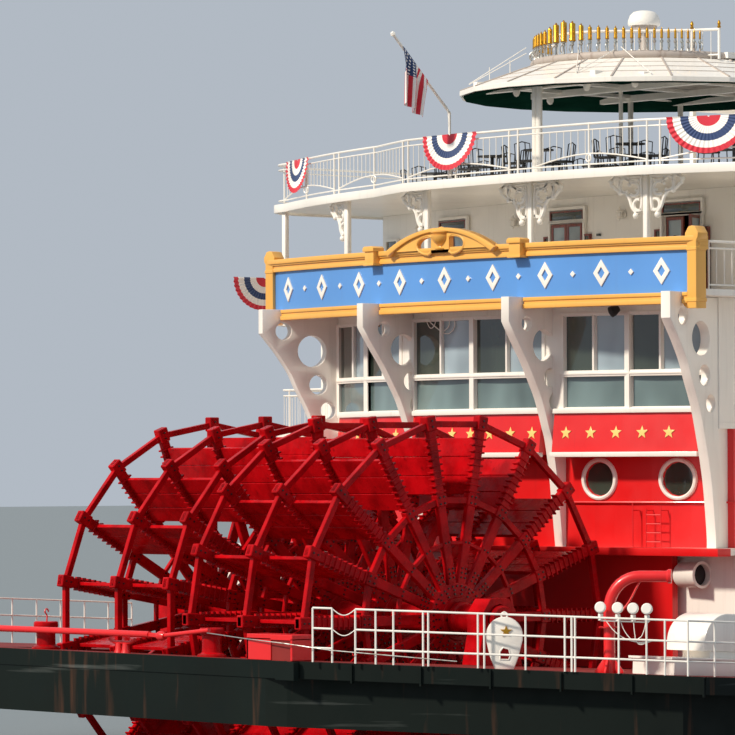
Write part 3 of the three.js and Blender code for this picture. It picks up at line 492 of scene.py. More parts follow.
def turned(profile, base=(0, 0, 0), along=(0, 0, 1), steps=24, sweep=tau):
    """A turned piece: (radius, height) points spun round an axis through its base."""
    mesh = bpy.data.meshes.new("turned")
    mesh.from_pydata([(r, 0, z) for r, z in profile], [(i, i + 1) for i in range(len(profile) - 1)], [])
    piece = new_object("turned", mesh)
    edit(piece, ("spin", {"steps": steps, "angle": sweep, "center": (0, 0, 0), "axis": (0, 0, 1)}), *CLOSED)
    piece.data.transform(shift(base) @ Vector(along).to_track_quat("Z", "Y").to_matrix().to_4x4())
    return piece


def joined(pieces):
    pieces = list(pieces)
    if len(pieces) > 1:
        select(*pieces)
        bpy.ops.object.join()
    return pieces[0]


def repeated(piece, matrices):
    """Copies of a piece at each matrix, as one mesh; the piece itself goes."""
    copies = []
    for matrix in matrices:
        copy = new_object(piece.name, piece.data.copy())
        copy.data.transform(matrix)
        copies.append(copy)
    bpy.data.objects.remove(piece)
    return joined(copies)


def finish(pieces, name, material, body="root", smooth=32, stands_for=()):
    """Joins and names pieces, gives them a finish, shades them smooth and lets them ride on a body."""
    piece = pieces if isinstance(pieces, bpy.types.Object) else joined(pieces)
    piece.name = name
    piece.data.name = name
    piece.data.materials.clear()
    piece.data.materials.append(MATERIALS[material])
    select(piece)
    bpy.ops.object.shade_smooth_by_angle(angle=radians(smooth))
    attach(piece, body)
    if stands_for:
        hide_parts(*stands_for)
    return piece


def circle(u, v, radius, steps=32):
    return [(u + radius * cos(a), v + radius * sin(a)) for a in spaced(0, tau, steps)[:-1]]


def eased(points, steps=6):
    """Points on a smooth curve through these, with both ends kept."""
    ends = [points[0], *points, points[-1]]
    line = []
    for p0, p1, p2, p3 in zip(ends, ends[1:], ends[2:], ends[3:]):
        for k in range(steps):
            t = k / steps
            line.append(tuple(
                0.5 * (2 * b + (c - a) * t + (2 * a - 5 * b + 4 * c - d) * t * t
                       + (3 * b - a - 3 * c + d) * t ** 3)
                for a, b, c, d in zip(p0, p1, p2, p3)))
    return [*line, tuple(points[-1])]


def bowed(x, radius, y):
    """Where a wall bowed towards the stern stands at this distance from the centreline."""
    return x + radius - sqrt(radius * radius - y * y)


def bowed_plate(x, radius, thick, y0, y1, z0, z1, bevel=0.0, steps=24):
    """A bowed wall or moulding with its aft face at x on the centreline."""
    aft = [(bowed(x, radius, y), y) for y in spaced(y0, y1, steps)]
    outline = [*aft, *[(u + thick, y) for u, y in reversed(aft)]]
    return plate([outline], z1 - z0, bevel, shift((0, 0, (z0 + z1) / 2)))


def walk(line, spacing):
    """Evenly spaced places along a line of points: (point, direction) pairs."""
    points = [Vector(p) for p in line]
    legs = [(b - a).length for a, b in zip(points, points[1:])]
    count = max(1, round(sum(legs) / spacing))
    step = sum(legs) / count
    places = []
    travelled, leg = 0.0, 0
    for i in range(count + 1):
        goal = min(i * step, sum(legs) - 1e-9)
        while travelled + legs[leg] < goal:
            travelled += legs[leg]
            leg += 1
        direction = (points[leg + 1] - points[leg]).normalized()
        places.append((points[leg] + direction * (goal - travelled), direction))
    return places


UP = xyz(0, 0, 1)
SIDES = (("port", 1), ("starboard", -1))


def deck_edge(aft, radius, half, corner, fore, nose, inset=0.0, steps=20):
    """Outline of a deck in plan: bowed astern, rounded corners, straight sides and an elliptic front."""
    side = half - inset
    stern = [(bowed(aft + inset, radius, y), y) for y in spaced(0, half - corner, steps)]
    x, y = stern[-1]
    bend = x + (side - y) * y / sqrt(radius * radius - y * y)
    turn = eased([(x, y), (bend * 0.6 + x * 0.4, y * 0.35 + side * 0.65), (bend + corner, side)], 6)[1:]
    front = [(fore - nose + (nose - inset) * sin(a), side * cos(a)) for a in spaced(0, pi / 2, steps)]
    upper = stern + turn + front
    return upper + [(a, -b) for a, b in reversed(upper[1:-1])]


def scaled(points):
    return [(u * SCALE, v * SCALE) for u, v in points]


def thousandths(points):
    return [(u / 1000, v / 1000) for u, v in points]


def mm(*numbers):
    """Points from a row of numbers in millimetres, two for each."""
    return thousandths(zip(numbers[::2], numbers[1::2]))


def rect(u0, u1, v0, v1):
    return [(u0, v0), (u1, v0), (u1, v1), (u0, v1)]


def spaced(first, last, count):
    """Numbers at even steps from first to last, with both ends."""
    return [first + (last - first) * i / count for i in range(count + 1)]


def hoop(middle, across, up, steps):
    """Points on an ellipse round middle, from its two half axes."""
    return [middle + across * cos(a) + up * sin(a) for a in spaced(0, tau, steps)[:-1]]


def bolt_place(spot, side):
    """Matrix of a bolt head on a face that looks to port, or to starboard where side is -1."""
    return shift(spot) @ Matrix.Rotation(-side * pi / 2, 4, "X")


def polar(radius, angle):
    """A place on a circle that stands fore and aft, such as the wheel's, from its centre."""
    return xyz(radius * cos(angle), 0, radius * sin(angle))


def bolt_head(radius, height):
    """A six-sided bolt head that stands on the origin along Z."""
    return plate([circle(0, 0, radius, 6)], height, 0, shift((0, 0, height / 2)))


# The boat's pieces, each made by one operator

class BOAT_OT_stage(Operator):
    """Camera at the photographed view, soft daylight from astern and a pale floor at the waterline"""
    bl_idname = "boat.stage"
    bl_label = "Camera, light and floor"

    def execute(self, context):
        eye = xyz(-12.2007, -7.6878, 0.9278)
        gaze = xyz(0.6508, 0.7589, 0.0227)
        data = bpy.data.cameras.new("camera")
        data.lens = 220.4
        data.sensor_width = 36
        data.clip_start = 1
        data.clip_end = 200
        camera = new_object("camera", data)
        camera.rotation_mode = "QUATERNION"
        camera.rotation_quaternion = gaze.to_track_quat("-Z", "Y")
        camera.rotation_quaternion.rotate(Matrix.Rotation(CAMERA_ROLL, 3, gaze).to_quaternion())
        camera.location = eye
        context.scene.camera = camera

        sun = bpy.data.lights.new("daylight", "SUN")
        sun.energy = 3.8
        sun.angle = radians(5)
        sun.color = linear("#FFF4E4")
        lamp = new_object("daylight", sun)
        lamp.rotation_mode = "QUATERNION"
        lamp.rotation_quaternion = xyz(0.765, -0.15, -0.62).to_track_quat("-Z", "Y")

        world = bpy.data.worlds.new("pale_room")
        world.use_nodes = True
        backdrop = world.node_tree.nodes["Background"]
        backdrop.inputs["Color"].default_value = (*linear("#DCE6F2"), 1)
        backdrop.inputs["Strength"].default_value = 0.62
        context.scene.world = world
        context.scene.view_settings.view_transform = "Standard"

        bpy.ops.object.select_all(action="DESELECT")
        bpy.ops.mesh.primitive_grid_add(x_subdivisions=4, y_subdivisions=4, size=120,
                                        location=(0, 0, WATERLINE))
        floor = context.object
        floor.name = "floor"
        bpy.ops.object.transform_apply(location=True, rotation=True, scale=True)
        material = new_material("floor_paint")
        surface = material.node_tree.nodes["Principled BSDF"]
        plug(material.node_tree, surface, {"Base Color": tint("#7D868A"), "Roughness": 0.6})
        floor.data.materials.append(material)
        return {"FINISHED"}


# Which finish each frame node gets; the others are white
NODE_FINISHES = {
    "red": ("stern_wall_lower", "engine_bulkhead", "bow_capstan"),
    "deck": ("main_deck", "fantail_deck"),
    "roof": ("sun_deck",),
    "hull": ("hull", "fantail_girder", "rudder_port", "rudder_starboard"),
    "stack": ("stack_port", "stack_starboard"),
    "wood": ("door_leaf_port", "door_leaf_starboard"),
    "amber": ("board_frame",),
    "blue": ("name_board",),
    "brass": ("whistles",),
    "wheel": ("wheel_half_port", "wheel_half_starboard", "wheel_shaft", "wheel_bearing_port",
              "wheel_bearing_starboard"),
    "fan": ("bunting_middle", "bunting_starboard", "bunting_port", "bunting_gallery"),
    "flag": ("flag",),
}


class BOAT_OT_finishes(Operator):
    """Makes every finish and gives the frame's own pieces theirs"""
    bl_idname = "boat.finishes"
    bl_label = "Finishes"

    def execute(self, context):
        make_materials()
        others = set(frame["nodes"]).difference(*NODE_FINISHES.values())
        for key, names in (*NODE_FINISHES.items(), ("white", others)):
            for name in names:
                materials = frame["nodes"][name].data.materials
                materials.clear()
                materials.append(MATERIALS[key])
        return {"FINISHED"}


# Paddlewheel, measured along an arm from the middle of the shaft
ARMS = 18
SPIDERS = (0.039, 0.227, 0.420)
ARM_TIP = 0.4445
RIM_R, HOOP_R, SMALL_HOOP_R = 0.427, 0.26, 0.167
PLANK = (0.2725, 0.3975)
PLANK_SPAN = (0.034, 0.425)
STRAPS = 9


def wheel_arm():
    """One arm along X: the bar, its plates at the rings, the straps that hold the planks and its bolts."""
    lengths = [(0.030, ARM_TIP, 7, 11, 1.5), (RIM_R - 0.015, ARM_TIP, 10.5, 13.5, 2),
               (HOOP_R - 0.013, HOOP_R + 0.013, 9.5, 14.5, 1.5)]
    lengths += [(0.2772 + 0.0145 * k, 0.2808 + 0.0145 * k, 9.5, 15.5, 0.5) for k in range(STRAPS)]
    parts = [block((r0, -w / 1000, -d / 1000), (r1, w / 1000, d / 1000), bevel / 1000)
             for r0, r1, w, d, bevel in lengths]
    spots = [(RIM_R - 0.006, 0, 10.5), (RIM_R + 0.007, 0, 10.5)]
    spots += [(HOOP_R + r, z, 9.5) for r in (-0.007, 0.007) for z in (-0.006, 0.006)]
    spots += [(SMALL_HOOP_R, z, 7) for z in (-0.005, 0.005)]
    spots += [(r, z, 7) for r in (0.09, 0.1, 0.11) for z in (-0.0055, 0.0055)]
    places = [bolt_place(xyz(r, side * depth / 1000, z), side) for side in (-1, 1) for r, z, depth in spots]
    return joined(parts), repeated(bolt_head(sizes().rivet_radius, 0.0024), places)


def wheel_ring(radius, width, depth):
    """A ring of straight bars from arm to arm."""
    step = tau / ARMS
    bars = [beam(polar(radius, i * step), polar(radius, (i + 1) * step), width, depth, 0.001,
                 polar(1, (i + 0.5) * step)) for i in range(ARMS)]
    return joined(bars)


def wheel_hub():
    """A hub flange with its bolt circles, spun round Y."""
    half = mm(32.5, -12.5, 46, -12.5, 48, -8.5, 74, -8.5, 78, -6.5)
    flange = turned([*half, *[(r, -z) for r, z in reversed(half)], half[0]], along=(0, 1, 0), steps=36)
    places = []
    for radius, count in ((0.0545, 18), (0.0635, 18), (0.0715, 36)):
        for i in range(count):
            spot = polar(radius, tau * (i + 0.25 * (count == 36)) / count)
            places += [bolt_place(spot + xyz(0, side * 0.0085, 0), side) for side in (-1, 1)]
    return flange, repeated(bolt_head(sizes().rivet_radius, 0.0027), places)


def wheel_half(side, turn):
    """Three spiders side by side with the bucket planks on their arms."""
    turns = [Matrix.Rotation(-i * tau / ARMS, 4, "Y") for i in range(ARMS)]
    across = [shift((0, side * y, 0)) for y in SPIDERS]
    arm, arm_bolts = wheel_arm()
    hub, hub_bolts = wheel_hub()
    spokes = [place_y @ spin for place_y in across for spin in turns]
    parts = [repeated(arm, spokes), repeated(wheel_ring(RIM_R, 0.012, 0.0135), across)]
    for radius, width, depth in ((HOOP_R, 0.011, 0.014), (SMALL_HOOP_R, 0.010, 0.008)):
        parts.append(repeated(wheel_ring(radius, width, depth), across[::2]))
    parts.append(repeated(hub, across))
    wide = (PLANK[1] - PLANK[0]) / 3
    near, far = sorted((side * PLANK_SPAN[0], side * PLANK_SPAN[1]))
    boards = [block((low + 0.0005, near, -0.004), (low + wide - 0.0005, far, 0.004), 0.001)
              for low in (PLANK[0] + k * wide for k in range(3))]
    half = joined([*parts, repeated(joined(boards), turns)])
    bolts = joined([repeated(arm_bolts, spokes), repeated(hub_bolts, across)])
    for piece in (half, bolts):
        piece.data.transform(shift(AXLE) @ Matrix.Rotation(turn, 4, "Y"))
    return half, bolts


class BOAT_OT_wheel(Operator):
    """Both halves of the paddlewheel with their bolts, and the shaft with the bolts in its ends"""
    bl_idname = "boat.wheel"
    bl_label = "Paddlewheel"

    def execute(self, context):
        for name, side in SIDES:
            half, bolts = wheel_half(side, pi / ARMS if side > 0 else 0.0)
            finish(half, f"paddles_{name}", "wheel", "paddlewheel",
                   stands_for=[f"wheel_half_{name}"])
            finish(bolts, f"paddle_bolts_{name}", "bolt", "paddlewheel")
        profile = mm(0, -575, 28, -575, 32, -571, 32, -452, 37, -449, 37, -437, 32.2, -434)
        shaft = turned([*profile, *[(r, -z) for r, z in reversed(profile)]], AXLE, (0, 1, 0), 32)
        ends = [bolt_place(AXLE + polar(0.02, tau * i / 8) + xyz(0, side * 0.575, 0), side)
                for side in (-1, 1) for i in range(8)]
        heads = repeated(bolt_head(0.003, 0.002), ends)
        finish([shaft, heads], "shaft", "wheel", "paddlewheel", stands_for=["wheel_shaft"])
        return {"FINISHED"}


# Fins, in real metres: the head's place, then along the fin from there and up from the axle
FIN_TOP, FIN_FOOT, FIN_BACK = 7.09, 1.475, 7.0
FIN_DEEP = 0.6
FINS = {
    "outer": ((3.69, 6.95), 2.5, ((0, 6.51), (0.37, 6.08), (0.72, 5.6), (0.92, 5.2), (1.14, 4.8), (1.32, 4.4),
                                  (1.55, 3.7), (1.65, 3.35), (1.78, 2.8), (1.92, 1.8), (1.93, FIN_FOOT)),
              ((0.56, 6.57, 0.21), (1.32, 6.09, 0.38), (1.48, 5.28, 0.235), (1.74, 4.66, 0.2))),
    "inner": ((3.03, 2.5), 2.0, ((0, 6.54), (0.18, 6.26), (0.41, 5.93), (0.64, 5.6), (0.86, 5.23),
                                 (1.06, 4.88), (1.2, 4.55), (1.33, 4.18), (1.44, 3.87), (1.57, 3.21),
                                 (1.66, 2.53), (1.79, FIN_FOOT)),
              ((0.61, 6.5, 0.17), (1.17, 6.02, 0.36), (1.39, 5.29, 0.21), (1.54, 4.75, 0.185))),
}
FIN_THICK = 0.024
PROMENADE_RADIUS = 2.7


def fin(kind, side):
    """A pierced knee bracket: a plate with a vertical head, a curved aft edge and four round holes."""
    (head, from_middle), rear, edge, holes = FINS[kind]
    aft = [(0, FIN_TOP), edge[0], *eased(edge[1:], 5)]
    outline = [*aft, (rear, FIN_FOOT), (rear, FIN_BACK), (FIN_DEEP, FIN_BACK), (FIN_DEEP, FIN_TOP)]
    rings = [outline] + [circle(along, z, r, 40) for along, z, r in holes]
    turn = asin(from_middle * SCALE / PROMENADE_RADIUS)
    facing = frame_at(place(head, side * from_middle, 0), (cos(turn), -side * sin(turn), 0), UP)
    return plate([scaled(ring) for ring in rings], FIN_THICK, 0.0012, facing)


class BOAT_OT_fins(Operator):
    """The four pierced white knee brackets between the windows"""
    bl_idname = "boat.fins"
    bl_label = "Fins"

    def execute(self, context):
        for name, side in SIDES:
            for kind in FINS:
                node = f"fin_{name}_{kind}"
                finish(fin(kind, side), f"{node}_plate", "white", stands_for=[node])
        return {"FINISHED"}


# Name board: heights over the axle and distances from the centreline, in real metres
BOARD_AFT = aft_of("board_frame")
BOARD_RADIUS = 3.1
RAIL_LOW, BOARD_LOW, BOARD_HIGH, RAIL_HIGH = 6.83, 7.07, 8.0, 8.3
LOW_RAIL_BAYS = ((-7.1, -6.98), (-6.68, -2.61), (-2.3, 2.3), (2.61, 6.68), (6.98, 7.1))
PIER_Y = 2.49
PEDIMENT_HALF, PEDIMENT_TOP = 1.9, 8.75


def board_strip(out, deep, y0, y1, z0, z1, bevel=0.0008):
    """A moulding along the bowed name board, in real metres; out is how far it stands out of the frame."""
    return bowed_plate(BOARD_AFT - out, BOARD_RADIUS, deep, y0 * SCALE, y1 * SCALE,
                       AXLE.z + z0 * SCALE, AXLE.z + z1 * SCALE, bevel)


def board_face(y, out=0.0):
    """A frame on the board's aft face: its X to starboard, its Y up and its Z astern."""
    origin = xyz(bowed(BOARD_AFT - out, BOARD_RADIUS, y * SCALE), y * SCALE, AXLE.z)
    return frame_at(origin, (-y * SCALE / BOARD_RADIUS, -1, 0), UP)


def moulded_rails():
    deep = 0.026
    low = [board_strip(out, deep + out, y0, y1, z0, z1) for y0, y1 in LOW_RAIL_BAYS
           for out, z0, z1 in ((0.0, 6.9, 7.03), (0.003, 7.0, BOARD_LOW + 0.01), (0.004, RAIL_LOW, 6.93))]
    high = [board_strip(out, deep + out, -7.4, 7.4, z0, z1) for out, z0, z1 in (
        (0.002, BOARD_HIGH, 8.09), (0.0, 8.07, 8.17), (0.004, 8.15, 8.2), (0.0075, 8.19, RAIL_HIGH))]
    return low + high


def end_post(side):
    """A post at the board's end, with a rounded capital and a base that flares towards the board."""
    foot, half = 6.72, 0.14
    cap = [(half, 8.2), (0.19, 8.26), (0.2, 8.36), (half, 8.44), (0.1, 8.5), (0, 8.52)]
    outline = [(-half, foot), (half, foot), *cap, *[(-u, v) for u, v in reversed(cap[:-1])]]
    base = [(half, 7.05), *[(half + 0.22 * sin(a), foot + 0.3 * (1 - cos(a))) for a in spaced(pi / 2, 0, 8)]]
    middle = place(4.355, side * 7.24, 0)
    facing = frame_at(middle, (0, -side, 0), UP)
    pieces = [plate([scaled(outline)], 0.031, 0.001, facing), plate([scaled(base)], 0.022, 0.0006, facing)]
    pieces += [block(middle + xyz(-0.017, -0.0155, z * SCALE), middle + xyz(0.017, 0.0155, z * SCALE + 0.008),
                     0.001) for z in (7.98, 6.86)]
    return joined(pieces)


def pier(side):
    """A small capped block across the top rail."""
    facing = board_face(side * PIER_Y, 0.006)
    cap = [(-0.21, 8.3), (0.21, 8.3), (0.21, 8.38), (0.15, 8.42), (-0.15, 8.42), (-0.21, 8.38)]
    return joined(plate([scaled(outline)], deep, 0.001, facing) for outline, deep in (
        (rect(-0.17, 0.17, 7.97, 8.34), 0.024), (cap, 0.032), (rect(-0.2, 0.2, 7.97, 8.03), 0.03)))


def arch(half, low, high, steps=32):
    """Points of a flat arch from one end to the other."""
    rise = high - low
    radius = (half * half + rise * rise) / (2 * rise)
    turn = asin(half / radius)
    return [(radius * sin(a), high - radius + radius * cos(a)) for a in spaced(-turn, turn, steps)]


def pediment():
    """The arched pediment with its raised rim, its two open half rounds with scroll rims and the urn."""
    facing = board_face(0, 0.002)
    outer = arch(PEDIMENT_HALF, RAIL_HIGH - 0.06, PEDIMENT_TOP)
    inner = [(u * 0.93, v - 0.085) for u, v in reversed(outer)]
    holes, rims = [], []
    for side in (-1, 1):
        bow = [(side * (0.42 + 0.4 * sin(a)), 8.36 - 0.19 * cos(a)) for a in spaced(0, pi, 16)]
        holes.append(scaled([*bow, (side * 0.3, 8.55), (side * 0.3, 8.17)]))
        curl = [(side * (0.38 + 0.44 * sin(a)), 8.37 - 0.22 * cos(a))
                for a in spaced(0.02 * pi, 0.98 * pi, 14)]
        line = scaled([(side * 0.3, 8.2), *curl, (side * 0.3, 8.54)])
        rims.append([facing @ xyz(u, v, 0.005) for u, v in line])
    profile = mm(0, 0, 14, 0, 16, 3, 8, 7, 7, 10, 17, 17, 23.5, 27, 24, 33, 19, 35, 20, 38, 25, 40, 25, 43,
                 10, 47, 6, 52, 0, 54)
    return joined([plate([scaled(outer), *holes], 0.014, 0.0008, facing),
                   plate([scaled([*outer, *inner])], 0.026, 0.0012, facing), rods(rims, 0.0035, 8),
                   turned(profile, place(0, 0, 8.24) + xyz(BOARD_AFT - 0.004 - AXLE.x, 0, 0), steps=32)])


def lozenges():
    """Plain raised lozenges and dots in a row, where the board would be lettered."""
    shapes = []
    for i in range(-8, 9):
        tall, wide = (0.3, 0.22) if i % 2 == 0 else (0.07, 0.07)
        rings = [[(0, 7.56 - tall * k), (wide * k, 7.56), (0, 7.56 + tall * k), (-wide * k, 7.56)]
                 for k in ((1, 0.45) if i % 2 == 0 else (1,))]
        shapes.append(plate([scaled(ring) for ring in rings], 0.004, 0.0004, board_face(0.8 * i, -0.005)))
    return joined(shapes)


class BOAT_OT_board(Operator):
    """The blank name board in its moulded amber frame, with piers, end posts, pediment and urn"""
    bl_idname = "boat.board"
    bl_label = "Name board"

    def execute(self, context):
        frame_parts = moulded_rails() + [pediment()]
        for side in (-1, 1):
            frame_parts += [end_post(side), pier(side)]
        finish(frame_parts, "board_mouldings", "amber", stands_for=["board_frame"])
        finish(board_strip(-0.006, 0.014, -7.11, 7.11, 7.05, 8.07, 0.0), "board_ground", "blue",
               stands_for=["name_board"])
        finish(lozenges(), "board_lozenges", "white")
        return {"FINISHED"}


# Stern house: the bowed walls' aft faces and the heights of their windows and trims
UPPER_AFT = aft_of("stern_wall_upper")
STERN_RADIUS = 1.6
LOWER_AFT = AXLE.x + 0.474
BAND_AFT, BAND_LOW, BAND_LEAN = AXLE.x + 0.417, 3.55, 0.11
# Each bay of windows: its ends, its thick mullion and its thin ones, in real metres to port
WINDOW_BAYS = (
    (-6.29, -2.77, -4.475, (-3.61, -5.26)),
    (-2.24, 2.24, 0.0, (-1.13, 1.13)),
    (2.77, 6.29, 4.475, (3.61, 5.26)),
)
SILL_Z, MID_Z, HEAD_Z = 4.60, 5.37, 6.68
BAND_BAYS = ((-6.2, -2.56), (-2.2, 2.2), (2.56, 6.2))
GLASS_KINDS = ("glass_dark", "glass_pale")


def wall_strip(x, out, deep, y0, y1, z0, z1, bevel=0.0006):
    """A moulding along a bowed stern wall; out is how far it stands out of the wall at x."""
    return bowed_plate(x - out, STERN_RADIUS, deep + out, y0 * SCALE, y1 * SCALE,
                       AXLE.z + z0 * SCALE, AXLE.z + z1 * SCALE, bevel, 14)


def upright(y, width, z0, z1, out=0.003, deep=0.012):
    """A vertical bar of the windows on the bowed upper wall, in real metres."""
    x = bowed(UPPER_AFT, STERN_RADIUS, y * SCALE)
    half = width * SCALE / 2
    return block((x - out, y * SCALE - half, AXLE.z + z0 * SCALE),
                 (x + deep, y * SCALE + half, AXLE.z + z1 * SCALE), 0.0005)


def pane(y0, y1, z0, z1):
    z = AXLE.z + (z0 + z1) / 2 * SCALE
    ends = [(bowed(UPPER_AFT + 0.008, STERN_RADIUS, y * SCALE), y * SCALE, z) for y in (y0, y1)]
    return beam(*ends, 0.002, (z1 - z0) * SCALE)


def window_bay(y0, y1, thick, thin):
    """One bay's white frame, and its panes by the kind of glass."""
    bars = [wall_strip(UPPER_AFT, 0.004, 0.012, y0 - 0.05, y1 + 0.05, z0, z1)
            for z0, z1 in ((SILL_Z - 0.07, SILL_Z), (MID_Z - 0.07, MID_Z + 0.07), (HEAD_Z, HEAD_Z + 0.07))]
    bars.append(wall_strip(UPPER_AFT, 0.006, 0.006, y0 - 0.03, y1 + 0.03, MID_Z - 0.025, MID_Z + 0.025))
    bars += [upright(y, 0.1, SILL_Z - 0.05, HEAD_Z + 0.05) for y in (y0, y1)]
    bars.append(upright(thick, 0.15, SILL_Z - 0.05, HEAD_Z + 0.05, 0.0045))
    bars += [upright(y, 0.06, MID_Z, HEAD_Z) for y in thin]
    panes = {"glass_dark": [], "glass_pale": [], "glass": []}
    edges = sorted((y0, y1, thick, *thin), reverse=True)
    for i, (a, b) in enumerate(zip(edges, edges[1:])):
        # Upper panes alternate between painted shade (dark) and a painted reflection of the sky (pale).
        panes[GLASS_KINDS[i % 2]].append(pane(b, a, MID_Z, HEAD_Z))
    for a, b in ((y0, thick), (thick, y1)):
        panes["glass"].append(pane(a, b, SILL_Z, MID_Z))
    return bars, panes


def star(radius, thick, matrix):
    points = [(r * sin(a), r * cos(a)) for r, a in zip([radius, radius * 0.42] * 5, spaced(0, tau, 10))]
    return plate([points], thick, 0.0003, matrix)


def band_face(y, z):
    """A frame on the leaning red band's face, in real metres."""
    x = bowed(BAND_AFT, STERN_RADIUS, y * SCALE) + BAND_LEAN * (z - BAND_LOW) * SCALE
    return frame_at((x, y * SCALE, AXLE.z + z * SCALE), (-y * SCALE / STERN_RADIUS, -1, 0), (BAND_LEAN, 0, 1))


STAR_Y = [0.65 * i for i in range(-3, 4)] + [s * y for s in (-1, 1) for y in (2.92, 3.58, 4.23, 4.87, 5.5)]
PORTHOLE_Y = (-5.32, -3.37, 0.0, 3.37, 5.32)
PORTHOLE_Z = 3.0


def porthole(y):
    """A thick white ring with a rounded face, and its pane."""
    middle = xyz(bowed(LOWER_AFT, STERN_RADIUS, y * SCALE), y * SCALE, AXLE.z + PORTHOLE_Z * SCALE)
    out = xyz(-1, y * SCALE / STERN_RADIUS, 0).normalized()
    profile = mm(38.5, -12, 38.5, 2, 39.5, 4.5, 42.5, 6, 46.5, 4.5, 48.5, 1, 48.5, -4, 38.5, -12)
    ring = turned(profile, middle, out, 40)
    glass = turned(mm(0, -6.5, 39, -6.5, 39, -8.5, 0, -8.5), middle, out, 40)
    return ring, glass


class BOAT_OT_stern_house(Operator):
    """Windows, sills, stars, portholes, ladder and pipe of the bowed stern house"""
    bl_idname = "boat.stern_house"
    bl_label = "Stern house"

    def execute(self, context):
        white, panes = [], {"glass_dark": [], "glass_pale": [], "glass": []}
        for bay in WINDOW_BAYS:
            bars, made = window_bay(*bay)
            white += bars
            for kind, sheets in made.items():
                panes[kind] += sheets
        for band in BAND_BAYS:
            white.append(wall_strip(UPPER_AFT, 0.009, 0.01, *band, 4.48, SILL_Z - 0.01, 0.001))
            white.append(wall_strip(BAND_AFT, 0.006, 0.012, *band, 3.5, 3.61, 0.001))
        rings, glass = zip(*(porthole(y) for y in PORTHOLE_Y))
        finish([*white, *rings], "stern_trim", "white")
        # The porthole panes are painted dark, as painted shade of the rooms behind them.
        finish(glass, "porthole_panes", "glass_dark")
        for kind, sheets in panes.items():
            finish(sheets, f"stern_{kind}", kind)
        finish((star(0.0155, 0.002, band_face(y, 4.04)) for y in STAR_Y), "stars", "gold")
        finish(self.climbing(), "wall_pipes", "red")
        return {"FINISHED"}

    def climbing(self):
        """A pipe along the wall, a ladder and a pole beside it, at both quarters."""
        line = [(bowed(LOWER_AFT - 0.004, STERN_RADIUS, y), y, AXLE.z + 0.248)
                for y in spaced(-0.67, 0.67, 28)]
        pieces = [rods([line], 0.0024, 8)]
        for side in (-1, 1):
            at = [xyz(bowed(LOWER_AFT - 0.022, STERN_RADIUS, y), side * y, AXLE.z)
                  for y in (0.44, 0.473, 0.508)]
            bars = [(p + UP * 0.146, p + UP * z) for p, z in zip(at, (0.247, 0.235, 0.241))]
            bars += [(at[1] + UP * z, at[2] + UP * z) for z in (0.16, 0.18, 0.2, 0.22)]
            bars += [(p + UP * 0.23, p + xyz(0.022, 0, 0.23)) for p in at]
            pieces.append(rods(bars, 0.0013, 6))
        return pieces


# Decks: how far aft each starts, how it is bowed and where it ends
WIDE_AFT = AXLE.x + 0.84
DECK_EDGES = {
    "cabin": (WIDE_AFT, 9.0, 1.34, 0.06, 4.7, 0.9),
    "observation": (WIDE_AFT, 9.0, 1.34, 0.06, 4.6, 0.9),
    "texas": (WIDE_AFT, 9.0, 1.34, 0.06, 4.5, 0.9),
    "promenade": (AXLE.x + 0.54, PROMENADE_RADIUS, 1.34, 0.13, 4.3, 0.9),
}
# How far out from the centreline each stern gallery's railing starts
GALLERY_ENDS = {"cabin": 0.76, "observation": 0.67, "texas": 0.722}
# Bays of the promenade railing astern that have an arch at their foot, by their ends in real metres to port
ARCHED_BAYS = ((-12.4, -8.6), (-8.3, -4.46), (-4.16, -0.85), (0.06, 3.95), (4.25, 8.2), (8.5, 12.4))
RAIL_POSTS = (-12.5, -8.6, -8.3, -4.46, -4.16, -0.24, 0.06, 3.95, 4.25, 8.2, 8.5, 12.5)


def outline_of(deck, inset=0.0):
    """Outline of a deck in plan, with the promenade's shoulders."""
    outline = deck_edge(*DECK_EDGES[deck], inset=inset, steps=24)
    if deck != "promenade":
        return outline
    return [(x + shoulder(y) if x < WIDE_AFT + 0.1 else x, y) for x, y in outline]


def shoulder(y):
    """How much further forward the promenade's edge runs outside its shoulders."""
    return 0.045 * min(max((abs(y) - 0.404) / 0.201, 0), 1)


def promenade_edge(y, inset=0.012):
    """The promenade's aft edge at a distance to port, in model metres."""
    return bowed(AXLE.x + 0.54 + inset, PROMENADE_RADIUS, y) + shoulder(y)


def fascia(deck, z0, z1, out=0.002):
    """A strip round the edge of a deck that covers its ends."""
    rings = [outline_of(deck, -out), outline_of(deck, 0.006)]
    return plate(rings, z1 - z0, 0.001, shift((0, 0, (z0 + z1) / 2)))


def at_height(line, z):
    return [(x, y, z) for x, y in line]


def uprights_on(line, spacing, z0, z1):
    """Upright bars' ends, evenly spaced along a line in plan."""
    return [((p.x, p.y, z0), (p.x, p.y, z1)) for p, _ in walk([(x, y, 0) for x, y in line], spacing)]


def railing(line, z, post_gap, rails=((0.107, 1.0), (0.092, 0.7), (0.012, 0.7))):
    """A deck railing: rails at their heights, posts and thin balusters between the two lower rails."""
    radius = sizes().rail_radius
    pieces = [rods([at_height(line, z + high - radius)], radius * share, 8) for high, share in rails]
    pieces.append(rods(uprights_on(line, sizes().baluster_gap, z + rails[2][0], z + rails[1][0]), 0.0009, 6))
    pieces.append(rods(uprights_on(line, post_gap, z, z + rails[0][0] - radius), 0.0022, 6))
    return joined(pieces)


def gallery_line(deck):
    """The line of a side gallery's railing: forward on the port side, round the bow and aft again."""
    end = GALLERY_ENDS[deck]
    line = [(x, y) for x, y in outline_of(deck, 0.014) if x > WIDE_AFT + 0.04 or abs(y) > end + 0.02]
    line = [(WIDE_AFT + 0.015, end), *line, (WIDE_AFT + 0.015, -end)]
    if deck == "texas":
        line = [(AXLE.x + 0.475, end), *line, (AXLE.x + 0.475, -end)]
    return line


